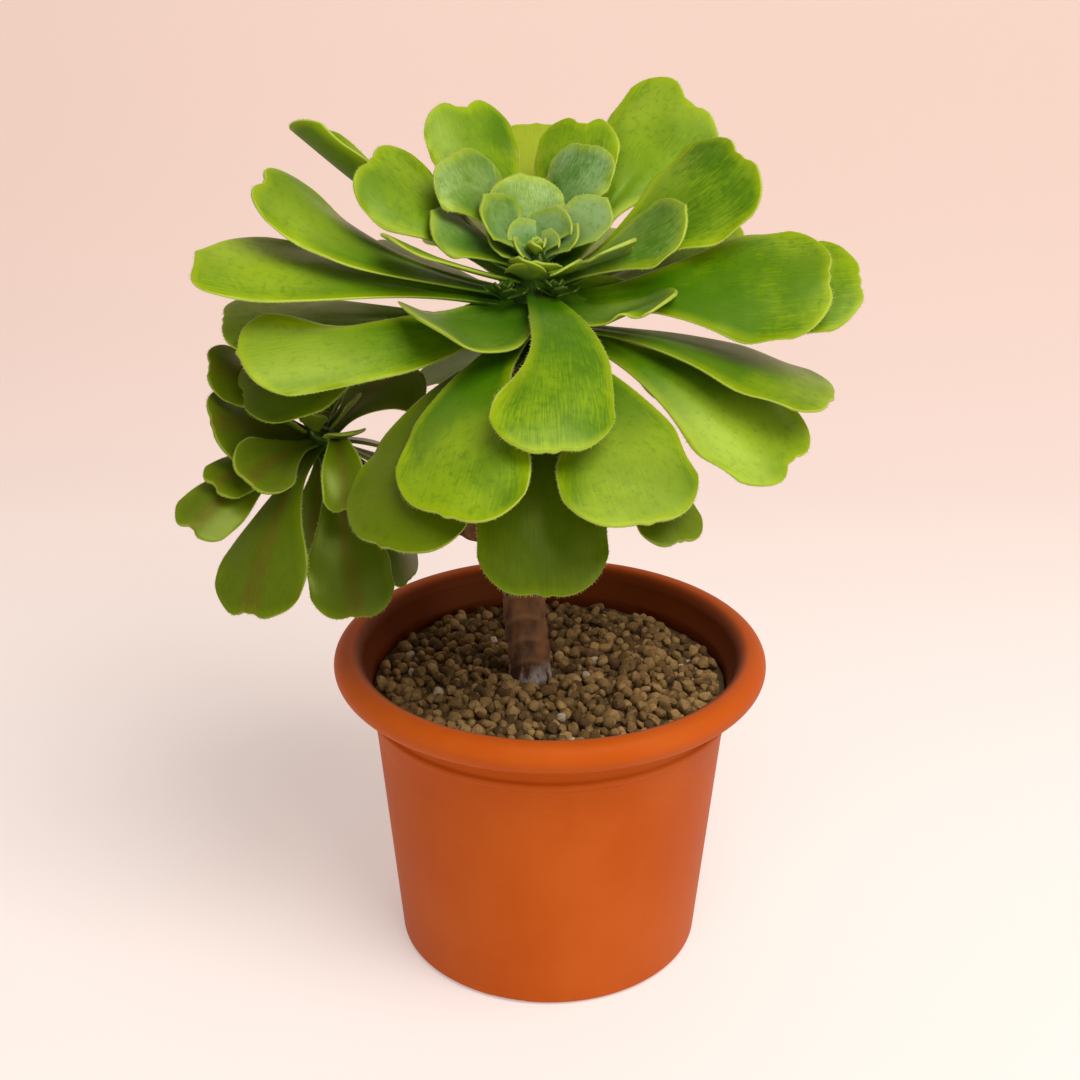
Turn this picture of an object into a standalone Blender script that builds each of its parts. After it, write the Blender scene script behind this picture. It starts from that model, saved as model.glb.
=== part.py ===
"""A potted aeonium: a leaf rosette on a bare stem, a lower side rosette, and a rolled-rim pot of grit."""
import math
import random

import bpy
import bmesh
import numpy as np
from mathutils import Vector
from mathutils.geometry import delaunay_2d_cdt

# Lengths are in millimetres and angles in degrees; MM turns a length into metres.
# The origin is the centre of the pot's underside, +Z is up, and the front faces -Y.
MM = 0.001
CLEARANCE = 0.3
MERGE_DISTANCE = 0.01
LAYOUT_TOLERANCE = 0.0001

# Pot: a tapered wall with a bead and a neck under a rolled rim; outlines are (radius, height)
POT_SIDES = 40
POT_HEIGHT = 113.5
RIM_RADIUS = 75.0
RIM_ROLL = 5.2
RIM_ARC = (-100, 180)
RIM_POINTS = 10
FOOT_RADIUS = 53.7
POT_OUTSIDE = [(52.2, 0), (FOOT_RADIUS, 1.5), (60.9, 82.0), (62.4, 91.6),  # foot and tapered body
               (64.3, 92.6), (64.3, 94.2), (63.3, 95.2), (63.3, 101.5)]  # bead and neck
FLOOR = 3.0
POT_INSIDE = [(49.4, FLOOR), (51.4, 5.0), (59.1, 82.0), (61.5, 96.0), (62.1, 102.5)]
DRAIN_COUNT = 4
DRAIN_RADIUS = 4.5
DRAIN_CIRCLE = 34.0
DRAIN_SIDES = 12
CHANNEL_WIDTH = 12.5
CHANNEL_DEPTH = 1.1
CHANNEL_START = 16.0
CHANNEL_OVERRUN = 5.0
FIRST_CHANNEL = -105.0

# Grit: pebbles that cover the whole surface, raised as relief
GRIT_RADIUS = 61.4
GRIT_LEVEL = 99.6
GRIT_EDGE = 1.1
GRIT_RISE = 3.2
PEBBLE_TOPS = (0.75, 1.0)
PEBBLE_GAPS = (0.0, 0.15)
GRIT_SPACING = 7.2
GRIT_JITTER = 0.16
GRIT_SEED = 7
GRIT_MARGIN = 1.6
HOLE_RADIUS = 8.2

# Stem: a trunk in a plain hole in the grit, with one side branch
TRUNK_PATH = [(-6.6, 2.2, 72), (-6.9, 2.3, 102), (-9.0, 2.3, 128), (-9.0, 2.2, 160), (-7.8, 2.0, 190)]
TRUNK_RADII = [7.0, 7.3, 7.2, 7.0, 6.8, 6.6, 6.6]
TRUNK_RINGS = 26
BRANCH_PATH = [(-9.0, 2.4, 148), (-24, 8, 153), (-44, 16, 158), (-62, 20.5, 165)]
BRANCH_RADII = [5.4, 5.2, 5.0, 4.8, 4.6, 4.6]
BRANCH_RINGS = 14
END_STRETCH = 5.0
STEM_SIDES = 14
SCAR_PITCH = 8.5
SCAR_DEPTH = 0.05

# Green stem tips that the leaves spring from: radius and distance along the axis from the leaves' base point
CROWN_BASE = (-6.3, 2.0, 224.0)
CROWN_AXIS = (0.07, 0, 1)
CROWN_TIP = [(6.6, -10), (8.2, -4), (8.4, 4), (7.4, 12), (5.4, 19), (3.2, 24), (1.5, 27)]
SIDE_BASE = (-77.0, 8.0, 184.8)
SIDE_AXIS = (-0.31, -0.63, 0.71)
SIDE_TIP = [(4.6, -9.5), (5.2, -6), (5.4, -1), (4.2, 4), (2.6, 7.5), (1.2, 9)]
TIP_SIDES = 12

# One leaf: a spoon-shaped blade on a narrow stalk, seen from its root
LEAF = dict(azimuth=0, rise=0, bend=0, roll=0, length=90, width=38, seat=0, cup=20, flat=-12, wave=1.0,
            notch=2.0, stalk=0.2, neck=0.2, wide=0.86, taper=0.0, twist=0, lop=0.0, skew=0.0, blunt=0.0,
            root=(0, 0, 0))
TIP_START = 0.5
TIP_ROUNDING = 0.85
FRONT_FULLNESS = 0.98
MIDRIB_REACH = 1.2
MIDRIB_STEPS = 121
LEAST_CURL = 0.001
NOTCH_WIDTH = 0.25
CURL_ZONE = (0.1, 0.8)
WAVES = 2.0
FLANK_SHIFT = 2.1
FULL_WAVE_WIDTH = 38
EDGE_THICKNESS = 0.75
STALK_THICKNESS = {"large": 2.6, "middle": 2.0, "small": 1.3}
TIP_THINNING = 0.5
LEAF_GRID = {"large": (5, 4), "middle": (4, 4), "small": (3, 2)}
LARGE_LEAF = 60
SMALL_LEAF = 22

# Crown leaves, outer to inner: azimuth is counter-clockwise from +X, seat is the root's height on the crown
CROWN_LEAVES = [
    dict(azimuth=161, rise=22, bend=14, length=97, width=32,  # high left, a trough seen from the side
         roll=24, cup=50, flat=60, seat=14, notch=1),
    dict(azimuth=180, rise=8, bend=32, length=97, width=34, roll=-12, seat=12, notch=4,  # upper left
         lop=0.15),
    dict(azimuth=-172, rise=10, bend=2, length=106, width=34, roll=-20, seat=9, notch=-1,  # far left
         skew=0.5),
    dict(azimuth=-163, rise=-2, bend=-4, length=96, width=37, roll=-34, seat=8, notch=1,  # left front
         lop=0.35, neck=0.25),
    dict(azimuth=-141, rise=-29, bend=55, length=47, width=47, seat=14, cup=20,  # folded young leaf, left
         flat=0, roll=-8, notch=0, neck=0.4, wide=0.95, stalk=0.45, lop=0.35, blunt=0.9, wave=0.5),
    dict(azimuth=-107, rise=-5, bend=-38, length=94, width=44, seat=5, notch=2, roll=8,  # front left
         lop=-0.12, skew=0.15),
    dict(azimuth=-85, rise=4, bend=-50, length=82, width=39, seat=14, notch=1, roll=-4,  # front centre
         lop=0.22, skew=-0.05),
    dict(azimuth=-66, rise=-8, bend=-30, length=95, width=44, seat=2, roll=4, lop=0.12),  # front right
    dict(azimuth=-21, rise=-12, bend=-22, length=99, width=38, seat=5, notch=4, roll=28),  # right front
    dict(azimuth=-8, rise=10, bend=-4, length=96, width=42, seat=9, roll=40),  # right
    dict(azimuth=-2, rise=10, bend=-6, length=106, width=36, seat=6, roll=40),  # right, behind
    dict(azimuth=-14, rise=1, bend=-22, length=100, width=32, seat=3, notch=1, roll=8),  # right, low
    dict(azimuth=-17, rise=-16, bend=42, length=47, width=28, seat=13, notch=0,  # folded young leaf, right
         cup=30, flat=15, roll=40, neck=-0.1, wide=0.5, taper=0.1, twist=-40, wave=-4, blunt=0.2),
    dict(azimuth=10, rise=22, bend=22, length=82, width=40, seat=13, notch=4, roll=32),  # upper right
    dict(azimuth=37, rise=34, bend=12, length=86, width=44, seat=15, notch=4, roll=30, neck=0.4,  # highest
         skew=0.3),
    dict(azimuth=-4, rise=18, bend=24, length=54, width=26, seat=15, notch=-1, roll=30),  # young, right
    dict(azimuth=-22, rise=18, bend=14, length=34, width=18, seat=18, roll=-14,  # young, right, edge on
         notch=-3),
    dict(azimuth=90, rise=28, bend=6, length=90, width=40, seat=8),  # back
    dict(azimuth=126, rise=44, bend=10, length=68, width=34, seat=18, notch=4),  # back left
    dict(azimuth=68, rise=40, bend=14, length=62, width=29, seat=18, notch=4),  # back right, outer
    dict(azimuth=58, rise=40, bend=16, length=47, width=25, seat=22),  # back right, inner
    dict(azimuth=156, rise=42, bend=14, length=46, width=31, seat=22, roll=-12),  # inner left
    dict(azimuth=107, rise=48, bend=10, length=32, width=26, seat=22, cup=30,  # inner back, palest
         flat=20, notch=-0.5, wave=0, wide=0.75),
    dict(azimuth=176, rise=42, bend=18, length=27, width=25, seat=23, notch=-0.5, cup=30,  # centre, left
         flat=20, wave=0, wide=0.7, roll=-20),
    dict(azimuth=133, rise=47, bend=16, length=14.7, width=19, seat=24, notch=-0.5, cup=30,  # centre, back
         flat=20, wave=0, wide=0.7),
    dict(azimuth=52, rise=49, bend=16, length=18.2, width=20, seat=24, notch=-0.5,  # centre, back right
         cup=30, flat=20, wave=0, wide=0.7),
    dict(azimuth=20, rise=33, bend=14, length=30, width=18, seat=22.5, roll=35, notch=-0.5,  # inner right
         cup=30, flat=20, wave=0, wide=0.7),
    dict(azimuth=175, rise=30, bend=14, length=19, width=13, seat=21, roll=-20,  # centre, low left
         notch=-1, cup=30, flat=20, wave=0, wide=0.7),
    dict(azimuth=-170, rise=44, bend=16, length=12, width=12, seat=22, notch=-0.5, cup=30,  # centre, small
         flat=20, wave=0, wide=0.7, roll=-20),
    dict(azimuth=48, rise=46, bend=16, length=10.4, width=14, seat=24.5,  # centre, small, right
         notch=-0.5, cup=30, flat=20, wave=0, wide=0.7),
    dict(azimuth=10, rise=36, bend=14, length=17, width=13, seat=23, roll=25,  # centre, low right
         notch=-1, cup=30, flat=20, wave=0, wide=0.7),
    dict(azimuth=-125, rise=48, bend=14, length=15, width=15, seat=14, notch=-1,  # centre, front left
         wave=0, cup=40, flat=30),
    dict(azimuth=-88, rise=52, bend=12, length=15, width=21, seat=13, cup=45, flat=35,  # centre, front
         notch=0, wave=0),
    dict(azimuth=-35, rise=8, bend=26, length=17, width=15, seat=20, notch=-1,  # centre, front right
         wave=0),
    dict(azimuth=180, rise=20, bend=20, length=38, width=22, seat=20, roll=-24,  # inner left, pointed
         notch=-1),
    dict(azimuth=173, rise=24, bend=22, length=67, width=32, seat=18, notch=3, roll=-30),  # left, pale
    dict(azimuth=-160, rise=14, bend=16, length=54, width=17, seat=16, roll=6),  # left, edge on
    dict(azimuth=150, rise=6, bend=8, length=66, width=26, seat=10),  # back left, tanned
    dict(azimuth=-121, rise=-9, bend=-36, length=97, width=46, seat=-2, roll=4,  # low, front left
         skew=0.1, lop=-0.15, stalk=0.3),
    dict(azimuth=-85.5, rise=-22, bend=-44, length=91, width=41, seat=-4),  # low, front, over the rim
    dict(azimuth=-55, rise=-12, bend=-32, length=93, width=24, seat=-3),  # low, front right
    dict(azimuth=-171, rise=4, bend=-26, length=97, width=34, seat=-2, roll=-26, neck=0.4),  # low, left
    dict(azimuth=-178, rise=3, bend=-4, length=101, width=30, seat=3, roll=-20),  # left, under the front one
    dict(azimuth=31, rise=11, bend=8, length=80, width=34, seat=8, roll=10),  # back right, olive
    dict(azimuth=120, rise=-10, bend=-32, length=78, width=36, seat=-3),  # low, back left
    dict(azimuth=46, rise=-10, bend=-28, length=88, width=36, seat=-1),  # low, back right
    dict(azimuth=28, rise=-12, bend=-30, length=88, width=34, seat=1, roll=-30),  # low, right, edge on
    dict(azimuth=76, rise=8, bend=-4, length=92, width=40, seat=5),  # back, hidden
    dict(azimuth=108, rise=12, bend=-2, length=92, width=40, seat=6),  # back left, hidden
    dict(azimuth=86, rise=-16, bend=-38, length=90, width=40, seat=-3),  # low, back, hidden
]

# Side rosette leaves, measured the same way
SIDE_LEAVES = [
    dict(azimuth=-155, rise=60, bend=-42, length=50, width=22, roll=-40),  # up and left
    dict(azimuth=-140, rise=24, bend=-8, length=45, width=30, roll=-40, notch=2, neck=0),  # left
    dict(azimuth=-131, rise=3, bend=-14, length=48, width=16, roll=-30),  # small, left
    dict(azimuth=-116, rise=9, bend=-18, length=45, width=22, roll=-40, cup=40, flat=30),  # folded, left
    dict(azimuth=-131, rise=-3, bend=-24, length=61, width=20, roll=-30, notch=3),  # far left
    dict(azimuth=-110, rise=-14, bend=-46, length=72, width=32, roll=6, notch=3),  # down and left
    dict(azimuth=-100, rise=-50, bend=-40, length=44, width=22, root=(0, 6, 0)),  # down, behind
    dict(azimuth=-72, rise=-20, bend=-48, length=68, width=28, notch=2),  # down
    dict(azimuth=-20, rise=-40, bend=-34, length=58, width=26),  # down and right
    dict(azimuth=-78, rise=46, bend=-118, length=50, width=15, cup=50, flat=40,  # front, arched over
         roll=10, root=(4, -1, -1)),
    dict(azimuth=130, rise=30, bend=-10, length=53, width=26),  # up, behind
    dict(azimuth=84, rise=28, bend=-10, length=55, width=26),  # up, behind, right
    dict(azimuth=50, rise=28, bend=-12, length=46, width=32, roll=20),  # right, up
    dict(azimuth=40, rise=-10, bend=-34, length=55, width=26),  # right, down
    dict(azimuth=-8, rise=-14, bend=-20, length=44, width=22),  # right, small
]

# Growing points: small leaves in a spiral, from first to last
GOLDEN_ANGLE = 137.5
YOUNG_LEAF = dict(notch=-0.5, cup=30, flat=20)
CROWN_SPIRAL = dict(count=6, start=98, rise=(50, 72), lean=4, bend=14,
                    length=(7, 4.5), width=(7, 3.5), seat=(24.5, 26.5))
SIDE_SPIRAL = dict(count=9, start=-60, rise=(30, 70), lean=15, bend=10,
                   length=(28, 10), width=(14, 7), seat=(0, 4))

# Materials: colour as linear red, green and blue, then roughness; edges sharper than the angle stay crisp
TERRACOTTA = ("terracotta plastic", (0.50, 0.11, 0.025), 0.5)
GRIT = ("brown grit", (0.16, 0.10, 0.055), 0.95)
BARK = ("stem bark", (0.17, 0.075, 0.04), 0.8)
LEAF_GREEN = ("leaf green", (0.20, 0.38, 0.04), 0.35)
SHADED_GREEN = ("shaded leaf green", (0.07, 0.16, 0.02), 0.4)
CRISP_ANGLE = {"pot": 35, "grit": 20, "stem": 50, "leaf": 60}


def clear_scene():
    """Empty the scene."""
    for item in list(bpy.data.objects):
        bpy.data.objects.remove(item, do_unlink=True)


def make_material(name, colour, roughness):
    """A Principled material of one plain colour."""
    material = bpy.data.materials.new(name)
    material.use_nodes = True
    shader = material.node_tree.nodes["Principled BSDF"]
    shader.inputs["Base Color"].default_value = (*colour, 1)
    shader.inputs["Roughness"].default_value = roughness
    shader.inputs["Metallic"].default_value = 0
    return material


def add_object(name, mesh, material=None):
    """Link a mesh to the scene as a named object."""
    item = bpy.data.objects.new(name, mesh)
    bpy.context.scene.collection.objects.link(item)
    if material:
        mesh.materials.clear()
        mesh.materials.append(material)
    return item


def mesh_from(name, points, faces):
    """A mesh from points in millimetres."""
    mesh = bpy.data.meshes.new(name)
    mesh.from_pydata([tuple(p) for p in np.asarray(points) * MM], [], [tuple(f) for f in faces])
    mesh.update()
    return mesh


def combine(body, pieces, operation, solver):
    """Apply one Boolean on a collection of pieces to the body, and remove the pieces."""
    group = bpy.data.collections.new(body.name + "_pieces")
    bpy.context.scene.collection.children.link(group)
    for piece in pieces:
        bpy.context.scene.collection.objects.unlink(piece)
        group.objects.link(piece)
    boolean = body.modifiers.new("combine", "BOOLEAN")
    boolean.operation = operation
    boolean.operand_type = "COLLECTION"
    boolean.collection = group
    boolean.solver = solver
    evaluated = body.evaluated_get(bpy.context.evaluated_depsgraph_get())
    mesh = bpy.data.meshes.new_from_object(evaluated)
    body.modifiers.clear()
    body.data = mesh
    for piece in pieces:
        bpy.data.objects.remove(piece, do_unlink=True)
    bpy.data.collections.remove(group)


def keep_largest_body(mesh):
    """Drop loose scraps, so that one connected body is left."""
    shape = bmesh.new()
    shape.from_mesh(mesh)
    waiting = set(shape.verts)
    bodies = []
    while waiting:
        found = [waiting.pop()]
        reached = set(found)
        while found:
            for edge in found.pop().link_edges:
                for vertex in edge.verts:
                    if vertex not in reached:
                        reached.add(vertex)
                        found.append(vertex)
        waiting -= reached
        bodies.append(reached)
    bodies.sort(key=len)
    for scrap in bodies[:-1]:
        bmesh.ops.delete(shape, geom=list(scrap), context="VERTS")
    bmesh.ops.triangulate(shape, faces=shape.faces)
    shape.to_mesh(mesh)
    shape.free()


def pot_profile():
    """The pot's outline: the underside, the outside, over the rolled rim and down the inside."""
    roll = []
    for angle in np.radians(np.linspace(*RIM_ARC, RIM_POINTS)):
        radius = RIM_RADIUS + RIM_ROLL * (math.cos(angle) - 1)
        height = POT_HEIGHT + RIM_ROLL * (math.sin(angle) - 1)
        roll.append((radius, height))
    return [(0, 0)] + POT_OUTSIDE + roll + list(reversed(POT_INSIDE)) + [(0, FLOOR)]


def make_pot(material):
    """Spin the pot's outline, then cut its drain holes and the water channels under it."""
    shape = bmesh.new()
    points = [shape.verts.new((radius * MM, 0, height * MM)) for radius, height in pot_profile()]
    edges = [shape.edges.new(pair) for pair in zip(points, points[1:])]
    bmesh.ops.spin(shape, geom=points + edges, axis=(0, 0, 1), cent=(0, 0, 0), dvec=(0, 0, 0),
                   angle=math.tau, steps=POT_SIDES, use_merge=True)
    bmesh.ops.remove_doubles(shape, verts=shape.verts, dist=MERGE_DISTANCE * MM)
    bmesh.ops.recalc_face_normals(shape, faces=shape.faces)
    mesh = bpy.data.meshes.new("pot")
    shape.to_mesh(mesh)
    shape.free()
    pot = add_object("pot", mesh)
    combine(pot, make_drains(), "DIFFERENCE", "EXACT")
    add_finish(pot, material, CRISP_ANGLE["pot"])


def make_drains():
    """Cutters: a shallow channel from near the middle out to the foot, and a round hole in each."""
    cutters = []
    for index in range(DRAIN_COUNT):
        turn = math.radians(FIRST_CHANNEL + index * 360 / DRAIN_COUNT)
        along = np.array([math.cos(turn), math.sin(turn), 0])
        across = np.array([-math.sin(turn), math.cos(turn), 0])
        near = along * CHANNEL_START
        far = along * (FOOT_RADIUS + CHANNEL_OVERRUN)
        side = across * CHANNEL_WIDTH / 2
        corners = [near - side, far - side, far + side, near + side]
        points = [c + (0, 0, -1) for c in corners] + [c + (0, 0, CHANNEL_DEPTH) for c in corners]
        faces = [(0, 3, 2, 1), (4, 5, 6, 7), (0, 1, 5, 4), (1, 2, 6, 5), (2, 3, 7, 6), (3, 0, 4, 7)]
        cutters.append(add_object("channel", mesh_from("channel", points, faces)))
        shape = bmesh.new()
        bmesh.ops.create_cone(shape, cap_ends=True, segments=DRAIN_SIDES, radius1=DRAIN_RADIUS * MM,
                              radius2=DRAIN_RADIUS * MM, depth=4 * FLOOR * MM)
        bmesh.ops.translate(shape, verts=shape.verts, vec=Vector(along * DRAIN_CIRCLE * MM))
        mesh = bpy.data.meshes.new("drain")
        shape.to_mesh(mesh)
        shape.free()
        cutters.append(add_object("drain", mesh))
    return cutters


def add_finish(item, material, sharp_angle):
    """Give an object its material, smooth shading and crisp edges."""
    item.data.materials.clear()
    item.data.materials.append(material)
    item.data.shade_smooth()
    item.data.set_sharp_from_angle(angle=math.radians(sharp_angle))


def circle(radius, height, sides, centre=(0, 0)):
    """Points around a level circle."""
    turns = np.arange(sides) * math.tau / sides
    return np.stack([centre[0] + radius * np.cos(turns), centre[1] + radius * np.sin(turns),
                     np.full(sides, height)], axis=1)


def make_grit(material, hole_centre):
    """The filling: follows the pot's wall, with a raised pebble in each cell of a close-packed layout."""
    draw = random.Random(GRIT_SEED)
    low_pitch = GRIT_SPACING / math.sqrt(3)
    shift = GRIT_JITTER * low_pitch
    rim_points = circle(GRIT_RADIUS, GRIT_LEVEL + GRIT_EDGE, POT_SIDES)
    hole_points = circle(HOLE_RADIUS, GRIT_LEVEL + GRIT_EDGE, STEM_SIDES, hole_centre)
    inside = []
    reach = 2 * int(GRIT_RADIUS / low_pitch)
    for row in range(-reach, reach + 1):
        for column in range(-reach, reach + 1):
            x = low_pitch * (column + row / 2) + draw.uniform(-shift, shift)
            y = low_pitch * row * math.sqrt(3) / 2 + draw.uniform(-shift, shift)
            is_pebble = (column - row) % 3 == 0
            rise = GRIT_RISE * draw.uniform(*(PEBBLE_TOPS if is_pebble else PEBBLE_GAPS))
            from_hole = math.hypot(x - hole_centre[0], y - hole_centre[1])
            if math.hypot(x, y) < GRIT_RADIUS - GRIT_MARGIN and from_hole > HOLE_RADIUS + GRIT_MARGIN:
                inside.append((x, y, GRIT_LEVEL + rise))
    points = [tuple(p) for p in rim_points] + [tuple(p) for p in hole_points] + inside
    loops = [(i, (i + 1) % POT_SIDES) for i in range(POT_SIDES)]
    loops += [(POT_SIDES + i, POT_SIDES + (i + 1) % STEM_SIDES) for i in range(STEM_SIDES)]
    flat = [Vector(p[:2]) for p in points]
    faces = delaunay_2d_cdt(flat, loops, [], 0, LAYOUT_TOLERANCE)[2]
    hole_ids = set(range(POT_SIDES, POT_SIDES + STEM_SIDES))
    faces = [f for f in faces if not set(f) <= hole_ids]
    wall = []
    for radius, height in POT_INSIDE[-2::-1]:
        wall.append(circle(radius - CLEARANCE, height + CLEARANCE, POT_SIDES))
    add_side(points, faces, range(POT_SIDES), wall)
    bottom = circle(HOLE_RADIUS, TRUNK_PATH[0][2] - CLEARANCE, STEM_SIDES, hole_centre)
    add_side(points, faces, range(POT_SIDES, POT_SIDES + STEM_SIDES), [bottom])
    grit = add_object("grit", mesh_from("grit", points, faces))
    shape = bmesh.new()
    shape.from_mesh(grit.data)
    bmesh.ops.recalc_face_normals(shape, faces=shape.faces)
    bmesh.ops.triangulate(shape, faces=shape.faces)
    shape.to_mesh(grit.data)
    shape.free()
    add_finish(grit, material, CRISP_ANGLE["grit"])


def add_side(points, faces, start_ring, rings):
    """Carry a wall down through rings of points and close it with one face."""
    last = list(start_ring)
    count = len(last)
    for ring in rings:
        first = len(points)
        points.extend(tuple(p) for p in ring)
        new = list(range(first, first + count))
        for i in range(count):
            j = (i + 1) % count
            faces.append((last[i], last[j], new[j], new[i]))
        last = new
    faces.append(tuple(last))


def smooth_path(route, count):
    """Points and directions along a smooth curve through the route."""
    route = [np.array(p, float) for p in route]
    route = [2 * route[0] - route[1]] + route + [2 * route[-1] - route[-2]]
    stretches = len(route) - 3
    points = []
    directions = []
    for step in np.linspace(0, stretches, count):
        index = min(int(step), stretches - 1)
        t = step - index
        a, b, c, d = route[index:index + 4]
        square = 2 * a - 5 * b + 4 * c - d
        cube = 3 * b - a - 3 * c + d
        points.append(b + ((c - a) * t + square * t ** 2 + cube * t ** 3) / 2)
        direction = (c - a) + 2 * square * t + 3 * cube * t ** 2
        directions.append(direction / np.linalg.norm(direction))
    return np.array(points), np.array(directions)


def make_tube(name, route, radii, rings):
    """A stem: rings of points square to a smooth path, swelling slightly at each leaf scar."""
    points, directions = smooth_path(route, rings)
    radius = np.interp(np.linspace(0, len(radii) - 1, rings), np.arange(len(radii)), radii)
    length = np.concatenate([[0], np.cumsum(np.linalg.norm(np.diff(points, axis=0), axis=1))])
    radius = radius * (1 + SCAR_DEPTH * np.sin(length / SCAR_PITCH * math.tau))
    radius[-1] = radii[-1]
    side = np.array([0.0, 1.0, 0.0])
    shape = []
    for centre, direction, size in zip(points, directions, radius):
        across = np.cross(side, direction)
        across /= np.linalg.norm(across)
        up = np.cross(direction, across)
        for turn in np.arange(STEM_SIDES) * math.tau / STEM_SIDES:
            shape.append(centre + size * (math.cos(turn) * across + math.sin(turn) * up))
    return add_object(name, mesh_from(name, shape, ring_faces(rings, STEM_SIDES)))


def ring_faces(rings, sides):
    """Faces of a closed tube of rings, capped at both ends."""
    faces = [tuple(reversed(range(sides)))]
    for ring in range(rings - 1):
        for i in range(sides):
            j = (i + 1) % sides
            low = ring * sides
            faces.append((low + i, low + j, low + sides + j, low + sides + i))
    faces.append(tuple(range((rings - 1) * sides, rings * sides)))
    return faces


def axis_point(base, axis, distance):
    """A point on a rosette's axis."""
    direction = np.array(axis, float)
    direction /= np.linalg.norm(direction)
    return np.array(base, float) + direction * distance


def make_stem(material):
    """The trunk and its side branch, grown as one."""
    crown_end = CROWN_TIP[0][1]
    side_end = SIDE_TIP[0][1]
    trunk_route = TRUNK_PATH + [axis_point(CROWN_BASE, CROWN_AXIS, crown_end - END_STRETCH),
                                axis_point(CROWN_BASE, CROWN_AXIS, crown_end - CLEARANCE)]
    branch_route = BRANCH_PATH + [axis_point(SIDE_BASE, SIDE_AXIS, side_end - END_STRETCH),
                                  axis_point(SIDE_BASE, SIDE_AXIS, side_end - CLEARANCE)]
    stem = make_tube("stem", trunk_route, TRUNK_RADII, TRUNK_RINGS)
    branch = make_tube("branch", branch_route, BRANCH_RADII, BRANCH_RINGS)
    combine(stem, [branch], "UNION", "EXACT")
    keep_largest_body(stem.data)
    add_finish(stem, material, CRISP_ANGLE["stem"])


def ease(start, end, value):
    """0 before start, 1 after end, and a smooth rise between."""
    t = np.clip((value - start) / (end - start), 0, 1)
    return t * t * (3 - 2 * t)


def leaf_surface(leaf, base, along, across):
    """Middle surface of a leaf and its upward direction, on a grid from stalk to tip.

    The midrib turns upwards by bend along the leaf. Each half widens from the stalk to its widest place, the
    left one sooner by lop. The front is an ellipse with a notch or a point, flatter by blunt and slanted by skew.
    The section is an arc that opens towards the tip and rolls on by twist, and its margins wave.
    """
    u = np.linspace(0, 1, along + 1)[:, None] * np.ones((1, across + 1))
    v = np.sin(np.linspace(-math.pi / 2, math.pi / 2, across + 1))[None, :] * np.ones((along + 1, 1))
    tip = ease(TIP_START, 1, u)
    widest = leaf["width"] / 2
    opened = ease(0, 1, (u - leaf["neck"] + leaf["lop"] * np.sign(v)) / (leaf["wide"] - leaf["neck"]))
    half = widest * (leaf["stalk"] + (1 - leaf["stalk"]) * opened)
    half = half * (1 - leaf["taper"] * ease(leaf["wide"], 1, u))
    rounding = TIP_ROUNDING * (1 - leaf["blunt"]) * widest * (1 - np.sqrt(1 - (FRONT_FULLNESS * v) ** 2))
    notch = leaf["notch"] * np.exp(-(v / NOTCH_WIDTH) ** 2)
    reach = leaf["length"] * u - tip * (rounding + notch - leaf["skew"] * widest * v)
    steps = np.linspace(0, MIDRIB_REACH, MIDRIB_STEPS)
    rise = np.radians(leaf["rise"] + leaf["bend"] * steps)
    turn = math.radians(leaf["azimuth"])
    heading = np.stack([np.cos(rise) * math.cos(turn), np.cos(rise) * math.sin(turn), np.sin(rise)], axis=-1)
    run = np.cumsum((heading[1:] + heading[:-1]) / 2, axis=0) * steps[1] * leaf["length"]
    run = np.concatenate([[np.zeros(3)], run])
    where = reach / leaf["length"]
    midrib = np.stack([np.interp(where, steps, run[:, k]) for k in range(3)], axis=-1) + base
    ahead = np.stack([np.interp(where, steps, heading[:, k]) for k in range(3)], axis=-1)
    ahead /= np.linalg.norm(ahead, axis=-1, keepdims=True)
    level = np.array([-math.sin(turn), math.cos(turn), 0])
    upright = np.cross(ahead, level)
    roll = np.radians(leaf["roll"] + leaf["twist"] * u)[..., None]
    side = level * np.cos(roll) + upright * np.sin(roll)
    up = upright * np.cos(roll) - level * np.sin(roll)
    curl = np.radians(leaf["cup"] + (leaf["flat"] - leaf["cup"]) * ease(*CURL_ZONE, u))
    curl = np.where(np.abs(curl) < LEAST_CURL, LEAST_CURL, curl)
    out = half * np.sin(curl * v) / curl
    lift = half * (1 - np.cos(curl * v)) / curl
    wave = leaf["wave"] * min(1, leaf["width"] / FULL_WAVE_WIDTH)
    lift += wave * tip * v ** 2 * np.sin(math.tau * WAVES * u + FLANK_SHIFT * (v < 0))
    surface = midrib + side * out[..., None] + up * lift[..., None]
    normal = up * np.cos(curl * v)[..., None] - side * np.sin(curl * v)[..., None]
    return surface, normal, u, v


def leaf_size(leaf):
    """Which grid and thickness a leaf gets."""
    if leaf["length"] > LARGE_LEAF:
        return "large"
    return "middle" if leaf["length"] > SMALL_LEAF else "small"


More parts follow.
